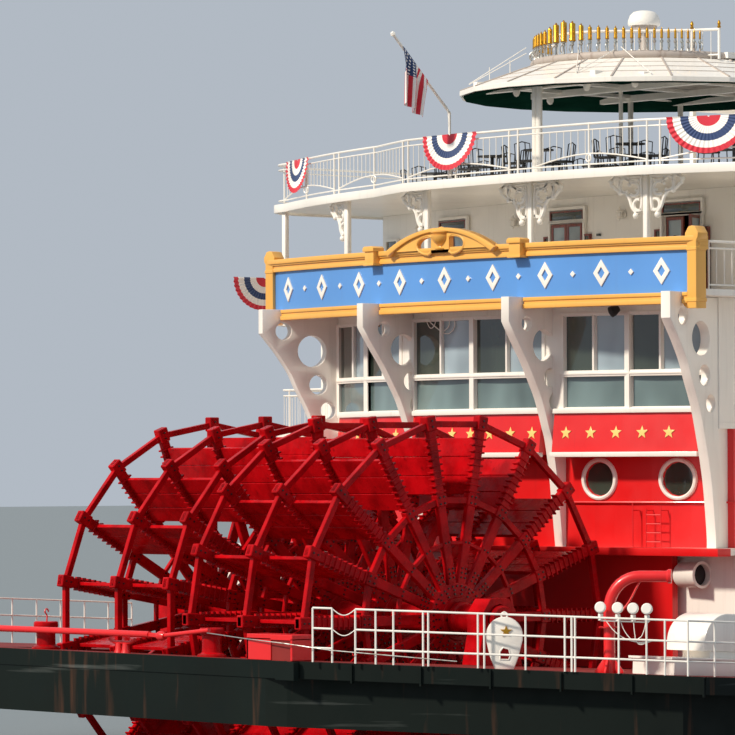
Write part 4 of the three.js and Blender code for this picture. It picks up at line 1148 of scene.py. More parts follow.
def stern_rail(y0, y1, steps=8):
    """The promenade railing's line between two distances to port, in real metres."""
    return [(promenade_edge(y), y) for y in spaced(y0 * SCALE, y1 * SCALE, steps)]


def promenade_railing():
    """The promenade railing: rails, bars and double posts, and an arch with a ring in each aft bay."""
    z, radius = DECK_TOP["promenade"], sizes().rail_radius
    line = outline_of("promenade", 0.012)
    low, second, top = z + 0.0115, z + 0.0905, z + 0.105
    pieces = [rods([at_height([*line, line[0]], high)], r, 8)
              for high, r in ((z + 0.107 - radius, radius), (second, 0.0018), (low, 0.0018))]
    sides = [(x, y) for x, y in line if x > WIDE_AFT + 0.25]
    pieces.append(rods(uprights_on(sides, sizes().baluster_gap, low, second), 0.0009, 6))
    pieces.append(rods(uprights_on(sides, sizes().bay, z, top), 0.0024, 6))
    middles = [(y0 + y1) / 2 * SCALE for y0, y1 in ARCHED_BAYS]
    spots = [(promenade_edge(y), y) for y in [*(y * SCALE for y in RAIL_POSTS), *middles]]
    posts = [((x, y, z), (x, y, top)) for x, y in spots]
    bars = []
    for (y0, y1), ring_y in zip(ARCHED_BAYS, middles):
        lift = [(x, y, z + 0.015 + 0.021 * sin(pi * i / 8)) for i, (x, y) in enumerate(stern_rail(y0, y1))]
        middle = xyz(promenade_edge(ring_y) - 0.002, ring_y, z + 0.026)
        ring = hoop(middle, xyz(0, 0.0085, 0), UP * 0.0085, 20)
        pieces += [rods([lift], 0.0018, 8), rods([ring], 0.0017, 6, closed=True)]
        count = round((y1 - y0) / 0.225)
        for i in range(1, count):
            y = (y0 + (y1 - y0) * i / count) * SCALE
            if abs(y - ring_y) > 0.008:
                x = promenade_edge(y)
                bars.append(((x, y, z + 0.015 + 0.021 * sin(pi * i / count)), (x, y, second)))
    return joined([*pieces, rods(bars, 0.0011, 6), rods(posts, 0.0026, 8)])


class BOAT_OT_railings(Operator):
    """Railings of the cabin, observation, texas and promenade decks, and white strips on the deck edges"""
    bl_idname = "boat.railings"
    bl_label = "Deck railings"

    def execute(self, context):
        for deck in GALLERY_ENDS:
            finish(railing(gallery_line(deck), DECK_TOP[deck], 0.21), f"{deck}_rails", "white",
                   stands_for=[f"{deck}_railing"])
        finish(promenade_railing(), "promenade_rails", "white", stands_for=["promenade_railing"])
        strips = {deck: fascia(deck, DECK_TOP[deck] - 0.02, DECK_TOP[deck] + 0.001) for deck in DECK_EDGES}
        z = DECK_TOP["cabin"]
        ledge = bowed_plate(AXLE.x + 0.4385, 8.0, 0.04, -0.747, 0.747, z - 0.016, z + 0.0012, 0.001)
        finish([strips.pop("cabin"), ledge], "cabin_deck_strip", "red")
        roofs = [block((AXLE.x + 0.53, y0, z - 0.018), (WIDE_AFT + 0.01, y1, z - 0.01), 0.001)
                 for y0, y1 in ((-1.252, -0.75), (0.75, 1.252))]
        finish(roofs, "engine_room_roofs", "white")
        finish(strips.values(), "deck_strips", "white")
        return {"FINISHED"}


# Columns astern, in real metres forward of the axle and to port, and the scrolls at their heads
STERN_COLUMNS = ((6.15, 0), (6.25, 3.75), (6.25, -3.75), (7.35, 8.0), (7.35, -8.0), (8.9, 12.3), (8.9, -12.3))


def bracket(side):
    """A bracket of chained scrolls, drawn outwards from the column under the deck's edge, in real metres."""
    lines = [[(u + r * cos(a), v + r * sin(a)) for a in spaced(radians(start), radians(start + sweep), 9)]
             for u, v, r, start, sweep in ((0.88, -0.16, 0.13, -30, 230), (0.62, -0.2, 0.16, 150, -270),
                                           (0.36, -0.3, 0.15, 60, 250), (0.24, -0.66, 0.13, 110, -250))]
    lines += [[(0.98, -0.2), (0.8, -0.33), (0.66, -0.36)], [(0.6, -0.06), (0.38, -0.13), (0.2, -0.1)],
              [(0.62, -0.36), (0.5, -0.5), (0.42, -0.7), (0.3, -0.84)],
              [(0.16, -0.05), (0.13, -0.5), (0.16, -0.8)],
              [(1.03, -0.12), (0.9, -0.01), (0.5, -0.02), (0.1, -0.02)]]
    pieces = [rods([[(side * u * SCALE, v * SCALE, 0) for u, v in line]], 0.0044, 6, smooth=True)
              for line in lines]
    for u, v, r in ((1.02, -0.1, 0.007), (0.76, -0.36, 0.0068), (0.31, -0.9, 0.0078), (0.5, -0.2, 0.005),
                    (0.27, -0.33, 0.005)):
        ball = [(r * sin(a), -r * cos(a)) for a in spaced(0, pi, 8)]
        pieces.append(turned(ball, (side * u * SCALE, v * SCALE, 0), steps=10))
    return joined(pieces)


def column_heads():
    """Every stern column's shaft, cap and pair of brackets."""
    pieces = []
    low, head = DECK_TOP["texas"], DECK_TOP["promenade"] - 0.02
    for x, y in STERN_COLUMNS:
        foot = xyz(AXLE.x + x * SCALE, y * SCALE, 0)
        if abs(y) < 10:
            slope = asin(y * SCALE / PROMENADE_RADIUS)
            for side in (-1, 1) if y in (0, -3.75) else (copysign(1, y),):
                made = bracket(side)
                made.data.transform(frame_at(foot + UP * (head + 0.002), (sin(slope), cos(slope), 0), UP))
                pieces.append(made)
        for half, top, bevel in ((0.01, low + 0.03, 0.001), (0.0065, head, 0.0006)):
            pieces.append(block(foot + xyz(-half, -half, low), foot + xyz(half, half, top), bevel))
    return joined(pieces)


class BOAT_OT_columns(Operator):
    """Columns under the promenade astern, with a pair of scroll brackets at each head"""
    bl_idname = "boat.columns"
    bl_label = "Columns and scroll brackets"

    def execute(self, context):
        finish(column_heads(), "columns_and_scrolls", "white", smooth=50)
        return {"FINISHED"}


# Canopy: a low cone of flat panels, measured from its own axis
CANOPY = xyz(AXLE.x + 0.983, 0, 0)
CANOPY_R, EAVE, CROWN_R, CROWN = 0.442, AXLE.z + 1.208, 0.285, AXLE.z + 1.2757
CANOPY_POSTS = ((0.635, -0.007), (0.635, 0.007), (0.905, 0), (1.13, 0.2), (1.13, -0.2), (1.3, 0.2),
                (1.3, -0.2))
SEAM_RINGS = (0.318, 0.357, 0.396)


def roof_height(radius):
    return EAVE + 0.012 + (CROWN - EAVE - 0.012) * (CANOPY_R - radius) / (CANOPY_R - CROWN_R)


def roof_point(radius, angle, lift=0.0):
    return CANOPY + xyz(radius * cos(angle), radius * sin(angle), roof_height(radius) + lift)


def canopy_roof():
    """The panelled roof with its eave, and its standing seams and ring seams."""
    panels = sizes().roof_panels
    eave = [(CANOPY_R - dr, EAVE + dz) for dr, dz in mm(6, 3, 1, 0, 0, 1, 0, 11, 1, 12)]
    roof = turned([(0, EAVE + 0.034), (0.3, EAVE + 0.034), *eave, (CROWN_R, CROWN), (0, CROWN)], CANOPY,
                  steps=panels)
    angles = spaced(0, tau, panels)[:-1]
    seams = [beam(roof_point(CANOPY_R - 0.001, a, 0.0005), roof_point(CROWN_R, a, 0.0005), 0.005, 0.003,
                  0.0006)
             for a in angles]
    seams.append(rods([[roof_point(r, a, 0.0001) for a in angles] for r in SEAM_RINGS], 0.0011, 6,
                      closed=True))
    return roof, joined(seams)


def canopy_stays():
    """Wire stays: a fence of two wires to port, and stays in a V to starboard."""
    fence = radians(-208)
    foot, far = (roof_point(r, radians(turn), 0.002) for r, turn in ((0.405, -157), (0.43, -132)))
    lines = [[roof_point(r, fence, high * (CANOPY_R - r) / (CANOPY_R - CROWN_R) + 0.004)
              for r in (0.43, 0.36, 0.29)]
             for high in (0.03, 0.044)]
    lines += [[roof_point(r, fence, z) for z in (0, 0.03)] for r in (0.33, 0.38)]
    lines += [[foot, roof_point(0.262, radians(turn), 0.015)] for turn in (-170, -149)]
    return rods([*lines, [far, roof_point(0.262, radians(-146), 0.02)]], 0.0011, 6)


def canopy_underside():
    """Dark green boards under the roof."""
    edge = CANOPY_R * 1000 - 8
    profile = mm(30, 27, 300, 27, edge, -0.5, edge, -3, 300, 24.5, 30, 24.5, 30, 27)
    return turned(profile, CANOPY + UP * EAVE, steps=sizes().roof_panels)


def canopy_frame():
    """Posts with caps and bases, the box beams under the roof and the clusters of lamps on them."""
    low = DECK_TOP["promenade"]
    tall = EAVE + 0.028 - low
    z = EAVE + 0.016
    pieces = []
    for x, y in CANOPY_POSTS:
        r = 0.0075 if x < 0.7 else 0.005 if y == 0 else 0.0065
        pieces.append(turned([(0, 0), (r + 0.006, 0), (r + 0.006, 0.004), (r, 0.008), (r, tall - 0.02),
                              (r + 0.005, tall - 0.014), (r + 0.006, tall), (0, tall)],
                             (AXLE.x + x, y, low), steps=16))
    pieces += [block((CANOPY.x - 0.36, y - 0.009, z), (CANOPY.x + 0.36, y + 0.009, z + 0.014), 0.001)
               for y in (-0.2, 0, 0.2)]
    pieces += [block((AXLE.x + x - 0.009, -0.3, z - 0.008), (AXLE.x + x + 0.009, 0.3, z + 0.008), 0.001)
               for x in (0.7, 0.9, 1.13, 1.3)]
    pieces += [turned(mm(0, 18, 4, 17, 4.5, 10, 9, 6, 8.5, -2, 5, -8, 0, -10), (AXLE.x + x, y, z - 0.014),
                      steps=12)
               for x, y in ((0.68, 0.12), (0.68, 0.04), (0.7, -0.1), (0.72, -0.24), (0.9, 0.24))]
    return joined(pieces)


class BOAT_OT_canopy(Operator):
    """The round roof over the aft promenade, with its stays, dark green underside, posts and lamps"""
    bl_idname = "boat.canopy"
    bl_label = "Canopy"

    def execute(self, context):
        roof, seams = canopy_roof()
        finish(roof, "canopy_roof", "white", smooth=5, stands_for=["canopy"])
        finish(seams, "canopy_seams", "pipe")
        finish(canopy_stays(), "canopy_stays", "white")
        finish(canopy_underside(), "canopy_boards", "green", smooth=5)
        low, high = (corner.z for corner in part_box("antenna_dome"))
        dome = mm(0, -37, 37, -37, 39.2, -33, 38.4, -24, 34, -12, 26, -4, 14, -1, 0, 0)
        finish(turned(dome, CANOPY + UP * high, steps=32), "dome", "white", smooth=60,
               stands_for=["antenna_dome"])
        foot = [(0, low), (0.012, low), *[(r, high + z) for r, z in mm(12, -48, 30, -46, 31, -37, 0, -37)]]
        finish(turned(foot, CANOPY, steps=24), "dome_foot", "pipe")
        # Painted light: a pale sector under the near side of the canopy stands for the underside lit by light
        # thrown up onto it; the rest of the underside stays dark green.
        edge = CANOPY_R * 1000 - 10
        profile = mm(30, 23.5, 300, 23.5, edge, -3.5, edge, -4.5, 300, 22.5, 30, 22.5, 30, 23.5)
        painted_light_patch = turned(profile, steps=6, sweep=radians(84))
        painted_light_patch.data.transform(shift(CANOPY + UP * EAVE) @ Matrix.Rotation(radians(178), 4, "Z"))
        finish(painted_light_patch, "canopy_painted_light", "pipe")
        finish(canopy_frame(), "canopy_posts", "white")
        return {"FINISHED"}


# Whistles: a half ring of pipe and a row of bells that shrink and close up from dead astern to both sides
PIPE_R, PIPE_HALF, PIPE_LOW = 0.262, 0.0095, CROWN + 0.0006
WHISTLES = 18
# Radius and height of the bells in millimetres, by their number from the largest
BELLS = ((0, 7.6, 45), (1, 7.4, 41), (2, 5.9, 34), (3, 4.8, 29), (5, 4.3, 25), (9, 3.6, 21), (18, 2.4, 16))


def whistle_size(number):
    after = next(k for k in range(1, len(BELLS)) if BELLS[k][0] >= number)
    (i0, r0, t0), (i1, r1, t1) = BELLS[after - 1:after + 1]
    share = (number - i0) / (i1 - i0)
    return (r0 + (r1 - r0) * share) / 1000, (t0 + (t1 - t0) * share) / 1000


def whistle(r, tall):
    """One bell on its base, with its cap and finial, and the silver neck and valve lever below it."""
    low, base = 2 * PIPE_HALF + 0.029, 2 * PIPE_HALF
    top = low + tall
    bell = [(0, low - 0.001), (r * 1.05, low - 0.001), (r * 1.12, low + 0.001), (r, low + 0.0025),
            (r, top - 0.002), (r * 0.9, top - 0.0005), (r * 0.5, top + 0.001), (r * 0.3, top + 0.002),
            (r * 0.34, top + 0.0035), (r * 0.12, top + 0.005), (0, top + 0.006)]
    neck = [(0, PIPE_HALF), (0.0032, base), (0.0022, base + 0.003), (0.0022, low - 0.012),
            (0.0042, low - 0.0105), (0.0042, low - 0.0065), (0.0024, low - 0.0055), (r * 0.8, low - 0.003),
            (r * 0.8, low - 0.0012), (0, low - 0.001)]
    lever = [(0, 0, low - 0.009), (-0.009, 0, low - 0.012), (-0.0115, 0, low - 0.021),
             (-0.007, 0, base + 0.002)]
    return turned(bell, steps=14), joined([turned(neck, steps=10), rods([lever], 0.0011, 6, smooth=True)])


class BOAT_OT_whistles(Operator):
    """The steam pipe round the roof with its row of brass whistles"""
    bl_idname = "boat.whistles"
    bl_label = "Steam whistles"

    def execute(self, context):
        bells, necks = [], []
        angle = 0.0
        for i in range(WHISTLES + 1):
            radius, tall = whistle_size(i)
            for side in (-1, 1) if i else (1,):
                turn = pi + side * angle
                spot = CANOPY + xyz(PIPE_R * cos(turn), PIPE_R * sin(turn), PIPE_LOW)
                for piece, group in zip(whistle(radius, tall), (bells, necks)):
                    piece.data.transform(shift(spot) @ Matrix.Rotation(turn + pi, 4, "Z"))
                    group.append(piece)
            angle += radians(3.2 + 2.9 * exp(-i / 6))
        finish(bells, "whistle_bells", "brass", stands_for=["whistles"])
        finish(necks, "whistle_valves", "steel")
        ring = [CANOPY + xyz(PIPE_R * cos(a), PIPE_R * sin(a), PIPE_LOW + PIPE_HALF)
                for a in spaced(pi / 2, 1.5 * pi, 48)]
        finish(rods([ring], PIPE_HALF, 20), "steam_pipe", "pipe")
        return {"FINISHED"}


# Texas house astern: doors and windows on its bowed wall
TEXAS_WALL, TEXAS_RADIUS = AXLE.x + 1.11, 5.0
DOOR_Z = DECK_TOP["texas"] + 0.003


def wall_frame(y, z=DOOR_Z, out=0.0):
    """A frame on the texas wall: across to starboard, up, and out of the wall."""
    x = bowed(TEXAS_WALL - out, TEXAS_RADIUS, y)
    return frame_at((x, y, z), (-y / TEXAS_RADIUS, -1, 0), UP)


def framed(u0, u1, v0, v1, rim, depth, matrix=None, bevel=0.6):
    """A flat frame round an opening, in millimetres of a wall's frame."""
    rings = [rect(u0, u1, v0, v1), rect(u0 + rim, u1 - rim, v0 + rim, v1 - rim)]
    return plate([thousandths(ring) for ring in rings], depth / 1000, bevel / 1000, matrix)


def filled(u0, u1, v0, v1, depth, matrix=None, bevel=0.4):
    """A flat plate in an opening, in millimetres of a wall's frame."""
    return plate([thousandths(rect(u0, u1, v0, v1))], depth / 1000, bevel / 1000, matrix)


def leaf_panel(wide, tall, matrix):
    """A door leaf in millimetres: stiles and rails, a fielded panel below and a pane above with a wreath."""
    wood = [framed(0, wide, 0, tall, 8, 6, matrix), filled(7, wide - 7, 6, 75, 4, matrix),
            framed(12, wide - 12, 12, 68, 4, 5.5, matrix), filled(7, wide - 7, 68, 82, 6, matrix)]
    glass = filled(7.5, wide - 7.5, 80, tall - 7.5, 3, matrix)
    middle = matrix @ xyz(wide / 2000, (50 + tall / 2) / 1000, 0)
    across, up, out = (column.to_3d() for column in matrix.col[:3])
    wreath = rods([hoop(middle + out * side * 0.003, across * 0.008, up * 0.009, 16) for side in (-1, 1)],
                  0.0018, 6, closed=True)
    return joined(wood), glass, wreath


def door_set(y, closed=True, half=62):
    """A pair of doors in the wall, in millimetres, with a transom above and a narrow light at each side."""
    facing = wall_frame(y, out=0.004)
    top = 212
    wood = [framed(-half - 3, half + 3, top + 4, top + 30, 3.5, 8, facing)]
    dark = [filled(-half, half, top + 7, top + 27, 4, facing)]
    for u in (-half - 17, half + 17):
        wood += [framed(u - 13, u + 13, 0, top - 30, 5, 8, facing), filled(u - 12, u + 12, 5, 70, 6, facing)]
        dark.append(filled(u - 9, u + 9, 70, top - 34, 4, facing))
    white = [framed(-half - 10, half + 10, -9.5, top + 8, 7, 9, facing),
             framed(-half - 12, half + 12, top + 0.5, top + 40, 7, 9, facing)]
    pale, wreaths = [], []
    for u in (-half / 1000 + 0.001, 0.0005) if closed else ():
        leaf = leaf_panel(half - 1.5, top - 2, facing @ shift((u, 0, 0)))
        for piece, group in zip(leaf, (wood, pale, wreaths)):
            group.append(piece)
    return wood, white, dark, pale, wreaths


def lantern(y, z):
    """A carriage lantern on a plate on the wall."""
    facing = wall_frame(y, AXLE.z + z * SCALE)
    return joined([
        plate([circle(0, 0, 0.011, 16)], 0.004, 0.0005, facing @ shift((0, 0, 0.002))),
        turned(mm(0, -17, 3, -16, 3.5, -12, 9, -9, 7, 4, 10.5, 6, 3, 13, 2, 18, 0, 18.5),
               facing @ xyz(0, 0, 0.014), steps=6),
        beam(facing @ xyz(0, 0.004, 0), facing @ xyz(0, 0.004, 0.012), 0.003, 0.003)])


class BOAT_OT_texas_wall(Operator):
    """Mahogany doors, windows, lanterns and plaques on the texas deck's aft wall"""
    bl_idname = "boat.texas_wall"
    bl_label = "Texas deck's aft wall"

    def execute(self, context):
        sets = [door_set(y, y != 0) for y in (0, 0.42, -0.42, 0.92, -0.92)]
        wood, white, dark, pale, wreaths = ([piece for made in sets for piece in made[k]] for k in range(5))
        for y in (1.24, -1.24):
            facing = wall_frame(y, DOOR_Z + 0.07, 0.003)
            white.append(framed(-35, 35, 0, 140, 6, 10, facing))
            dark.append(filled(-30, 30, 5, 135, 3, facing))
        fittings = [lantern(y, 9.42) for y in (0.21, -0.21, 0.63, -0.63, 1.08, -1.08)]
        for y, z in ((0.30, 0.895), (-0.27, 0.875), (0.52, 0.88), (-0.55, 0.88)):
            dark.append(filled(-6, 6, -2, 4, 6, wall_frame(y, AXLE.z + z, 0.003)))
        fittings.append(framed(-14, 14, -20, 20, 3, 4, wall_frame(-0.285, AXLE.z + 0.875, 0.002)))
        finish(wood, "door_cases", "wood")
        finish(white + fittings, "door_trims", "white")
        # Dark panes in the door sets and windows are painted shade of the rooms behind them.
        finish(dark, "door_dark_panes", "glass_dark")
        # The pale door panes are a painted reflection of the sky.
        finish(pale, "door_pale_panes", "glass_pale")
        finish(wreaths, "door_wreaths", "green")
        for name, side in SIDES:
            body = f"door_{name}"
            hinge = xyz(TEXAS_WALL + 0.002, side * 0.0605, DOOR_Z)
            across = xyz(0, -side, 0)
            across.rotate(Matrix.Rotation(radians(110) if side < 0 else 0.0, 3, "Z"))
            facing = frame_at(hinge, across, UP) @ shift((0, 0, -side * 0.003))
            leaf, glass, wreath = leaf_panel(59, 210, facing)
            finish(leaf, f"leaf_{name}", "wood", body, stands_for=[f"door_leaf_{name}"])
            # The leaf's pale pane is a painted reflection of the sky.
            finish(glass, f"leaf_pane_{name}", "glass_pale", body)
            finish(wreath, f"leaf_wreath_{name}", "green", body)
        return {"FINISHED"}


# Fantail: its deck falls forward from the transom
FANTAIL_FALL = 0.05
TRANSOM = AXLE.x - 0.65
BEAM_HALF = 1.36


def deck_z(x):
    """Height of the fantail's deck at a place along the boat."""
    return FANTAIL_TOP - FANTAIL_FALL * (x - TRANSOM)


def on_deck(forward, port, up=0.0):
    """A place on the fantail's deck, in real metres forward of the axle, to port and up from the deck."""
    x = AXLE.x + forward * SCALE
    return xyz(x, port * SCALE, deck_z(x) + up * SCALE)


def fantail_plan(side):
    """The fantail's outer edge on one side, from the transom forward."""
    points = ((TRANSOM, 0.55), (TRANSOM, 0.625), (AXLE.x - 0.18, BEAM_HALF), (AXLE.x + 0.51, BEAM_HALF))
    return [xyz(x, side * y, 0) for x, y in points]


def slanting_wall(points, high, low, thick, bevel=0.001):
    """Upright plates along a line in plan, from high to low under the fantail's falling deck."""
    pieces = []
    for a, b in zip(points, points[1:]):
        along = (b - a).normalized()
        out = along.cross(UP) * (1 if a.y < 0 or b.y < 0 else -1)
        ends = [p + UP * (deck_z(p.x) - (high + low) / 2) for p in (a, b)]
        pieces.append(beam(*[p + out * thick / 2 for p in ends], thick, low - high, bevel))
    return joined(pieces)


def fantail_guard():
    """The black guard round the fantail, in lengths with butt straps, and the transom's plates."""
    pieces = []
    for side in (-1, 1):
        edge = fantail_plan(side)
        pieces.append(slanting_wall(edge[1:], 0.0, 0.036, 0.004))
        for leg in (edge[1:3], edge[2:4]):
            for p, along in walk(leg, 0.155)[1:]:
                out = xyz(0, side, 0) if abs(along.x) > 0.99 else xyz(-0.837, side * 0.547, 0)
                middle = p + out * 0.0035 + UP * (deck_z(p.x) - 0.02)
                pieces.append(beam(middle - UP * 0.021, middle + UP * 0.019, 0.004, 0.012, 0.0008, out))
        x, z = edge[1].x, deck_z(edge[1].x)
        pieces.append(block((x - 0.004, side * 0.63 - 0.03, z - 0.04),
                            (x + 0.01, side * 0.63 + 0.03, z - 0.001), 0.001))
    pieces.append(block((TRANSOM - 0.0025, -0.625, FANTAIL_TOP - 0.037),
                        (TRANSOM + 0.001, 0.625, FANTAIL_TOP - 0.0005), 0.0008))
    return joined(pieces)


def bollard_cap(port):
    """A rounded cap with its collar and base ring on a bollard."""
    return turned(mm(0, 0, 31, 0, 31, 4, 21, 10, 20.5, 45, 26.2, 48, 27.2, 51, 26.8, 58.5, 24, 61, 0, 61.5),
                  on_deck(-6.0, port), steps=32)


def cleat(port):
    """A double-horned cleat on two legs."""
    at = on_deck(-6.15, port)
    horns = rods([[at + xyz(0, s, z) for s, z in mm(-44, 29, -30, 23.5, 0, 22.5, 30, 23.5, 44, 29)]], 0.0042,
                 10, smooth=True)
    legs = [turned(mm(0, 0, 11, 0, 8.5, 8, 7, 21, 0, 21), at + xyz(0, s, 0), steps=14)
            for s in (-0.012, 0.012)]
    return joined([horns, *legs])


def pole():
    """The long pole that lies across the bollards, thinner past its knuckle, with a shackle at the end."""
    at = [on_deck(-6.34, 4.6, 0.42), on_deck(-6.34, -1.6, 0.42), on_deck(-6.34, -2.0, 0.4),
          on_deck(-6.33, -3.6, 0.56)]
    long = rods([at[:2]], 0.0068, 16)
    knuckle = turned(mm(0, -13, 7, -12, 10.5, -4, 10.5, 4, 7, 12, 0, 13), at[2], (0, 1, 0), 16)
    fork = beam(at[1] + xyz(0, 0.01, 0), at[2], 0.009, 0.009, 0.001)
    arm = rods([[at[2], at[3]]], 0.0045, 12)
    bends = ((0, 0.6), (0, 0.75), (-0.005, 0.82), (0, 0.88), (0.005, 0.82))
    hook = rods([[on_deck(-6.0, 2.5, z) + xyz(dx, 0, 0) for dx, z in bends]], 0.0016, 8, smooth=True)
    return joined([long, knuckle, fork, arm, hook])


def chock():
    """Cheeks and lid of the roller chock at the transom's corner."""
    x0, x1, y0, y1, z = AXLE.x - 0.652, AXLE.x - 0.597, -0.653, -0.507, FANTAIL_TOP
    return joined([block((x0, y0, z + 0.041), (x1, y1, z + 0.0525), 0.001),
                   block((x0, y0, z), (x1, y0 + 0.006, z + 0.045), 0.001),
                   block((x0, y1 - 0.006, z), (x1, y1, z + 0.045), 0.001),
                   block((x0, -0.585, z), (x0 + 0.004, y1, z + 0.045), 0.0006)])


def pedestal():
    """The white oval fairlead: a thick plate, the rim of its mouth, an eye on top and a star."""
    facing = frame_at(on_deck(-3.83, -9.97), (0.72, -0.69, 0), UP)
    top = [(-0.037 * cos(a), 0.067 + 0.038 * sin(a)) for a in spaced(0, pi, 20)]
    outline = [*mm(-19, 0, -29, 26, -36.5, 58), *top, *mm(36.5, 58, 29, 26, 19, 0)]
    mouth = mm(-8, 20, 9, 19.5, 12.5, 29, 9, 41, -2, 44, -8.5, 36)
    rim = rods([[facing @ xyz(u, v, 0.015) for u, v in mouth]], 0.0017, 6, closed=True)
    eye = rods([[facing @ xyz(u, v, 0) for u, v in circle(0, 0.108, 0.006, 16)]], 0.0018, 8, closed=True)
    mark = star(0.0125, 0.003, facing @ shift((0.004, 0.076, 0.0158)))
    return joined([plate([outline, mouth], 0.03, 0.002, facing), rim, eye]), mark


def gooseneck():
    """The red vent pipe with its foot plates, collar, bend, bell mouth and brace."""
    foot = on_deck(-2.63, -11.76)
    toward = xyz(0.64, -0.77, 0)
    bend = [(0.062 * (1 - cos(a)), 0.127 + 0.066 * sin(a)) for a in spaced(0, pi / 2, 9)]
    tube = rods([[foot + toward * u + UP * v for u, v in [(0, 0), *bend, (0.118, 0.193)]]], 0.0115, 16)
    collar = turned(mm(0, -3, 21, -3, 21, 0, 0, 0), foot + UP * 0.093, steps=24)
    flange = turned(mm(0, 0, 12.5, 0, 14.5, 3, 14.5, 9, 0, 9), foot + UP * 0.193 + toward * 0.116, toward, 20)
    gussets = [plate([mm(8, 0, 30, 0, 30, 4, 11, 30, 8, 30)], 0.004, 0.0005,
                     frame_at(foot, (cos(a), sin(a), 0), UP))
               for a in (turn * pi / 2 + 0.5 for turn in range(4))]
    brace = rods([[foot + UP * v + toward * u for u, v in mm(9, 115, 26, 125, 62, 183)]], 0.0022, 8,
                 smooth=True)
    return joined([tube, collar, flange, brace, *gussets])


def floodlights():
    """Four round lamps in a row above the railing on one bar, with their looped leads."""
    start, end = on_deck(-2.95, -11.85, 1.3), on_deck(-2.4, -12.65, 1.3)
    gaze = (-0.75, -0.6, 0.12)
    low = start.lerp(end, 0.75) - UP * 0.066
    lamps, leads = [], []
    for share in (0.0, 0.36, 0.68, 0.97):
        at = start.lerp(end, share)
        lamps.append(turned(mm(0, -10, 7, -9, 10.8, -3, 11.7, 4, 10.8, 8, 9, 9.2, 0, 9.2), at, gaze, 20))
        lamps.append(beam(at - UP * 0.012, at - UP * 0.026, 0.007, 0.009, 0.0008, (1, 0, 0)))
        leads.append([at - UP * 0.012, at.lerp(low, 0.5) - UP * 0.02, low,
                      start.lerp(end, 1.12) - UP * 0.062])
    lamps.append(rods([[start - UP * 0.026, end - UP * 0.026]], 0.0016, 6))
    return joined(lamps), rods(leads, 0.0009, 6, smooth=True)


def winch_hood():
    """The white hood with a rounded back on its long box by the railing."""
    facing = frame_at(on_deck(-1.55, -12.0), (1.0, 0.0, -FANTAIL_FALL), UP)
    back = [(0.153 - 0.065 * cos(a), 0.067 + 0.06 * sin(a)) for a in spaced(0, pi / 2, 12)[1:]]
    hood = [*mm(88, 50, 88, 67), *back, *mm(280, 127, 280, 50)]
    pieces = [plate([hood], 0.11, 0.003, facing @ shift((0, 0, -0.01)))]
    pieces += [filled(*edges, depth, facing, bevel) for edges, depth, bevel in (
        ((-10, 300, 0, 31), 120, 1.5), ((-20, 200, 31.5, 36), 126, 1), ((110, 260, 30, 52), 80, 1))]
    return joined(pieces)


def ventilator():
    """A white drum that lies across under the cabin deck's edge, with a dark disc in its mouth that is
    painted shade of the duct inside.
    """
    start, end = place(5.3, -5.76, 0.88), place(5.3, -6.42, 0.89)
    drum = turned(mm(0, 0, 26, 0, 28, 4, 28, 62, 30, 66, 24, 67, 24, 50, 0, 50), start, end - start, 24)
    # Painted shade: a dark disc stands for the unlit inside of the duct.
    mouth = turned(mm(0, 51.5, 23.5, 51.5, 23.5, 53, 6, 58, 0, 58), start, end - start, 20)
    return drum, mouth


# Heights of the rails, and places along the slanting leg: the bay with chains, and every post
RAIL_HEIGHTS = (0.1096, 0.0684, 0.0287)
RAIL_OPEN = (0.053, 0.116)
RAIL_FEET = (0.053, 0.116, 0.171, 0.219, 0.299, 0.313, 0.446, 0.463, 0.573, 0.677, 0.695, 0.704, 0.819, 0.892,
             0.94)


def fantail_railing(side):
    """A three-rail pipe railing just inside the guard, with hanging chains across its first bay."""
    corner, bend, fore = on_deck(-6.28, side * 6.9), on_deck(-2.0, side * 13.35), on_deck(4.7, side * 13.35)
    first, last = (corner.lerp(bend, share) for share in RAIL_OPEN)
    rails = [[p + UP * z for p in line] for line in ((last, bend, fore), (corner, first))
             for z in RAIL_HEIGHTS]
    feet = [corner, *(corner.lerp(bend, share) for share in RAIL_FEET),
            *(p for p, _ in walk([bend, fore], 0.075))]
    posts = [(p, p + UP * RAIL_HEIGHTS[0]) for p in feet]
    chains = [[first.lerp(last, k) + UP * (top - 0.013 * sin(pi * k)) for k in spaced(0, 1, 12)]
              for top in RAIL_HEIGHTS[:2]]
    return joined([rods(rails, 0.0021, 8), rods(posts, 0.0021, 8), rods(chains, 0.0011, 6)])


def chock_wire():
    """The taut wire from the pole's arm, round the chock and back along the deck."""
    places = ((-6.34, -3.55, 0.5), (-6.55, -5.0, 0.42), (-6.62, -6.45, 0.35), (-6.15, -7.3, 0.25),
              (-4.6, -9.4, 0.12))
    return rods([[on_deck(*spot) for spot in places]], 0.0012, 8)


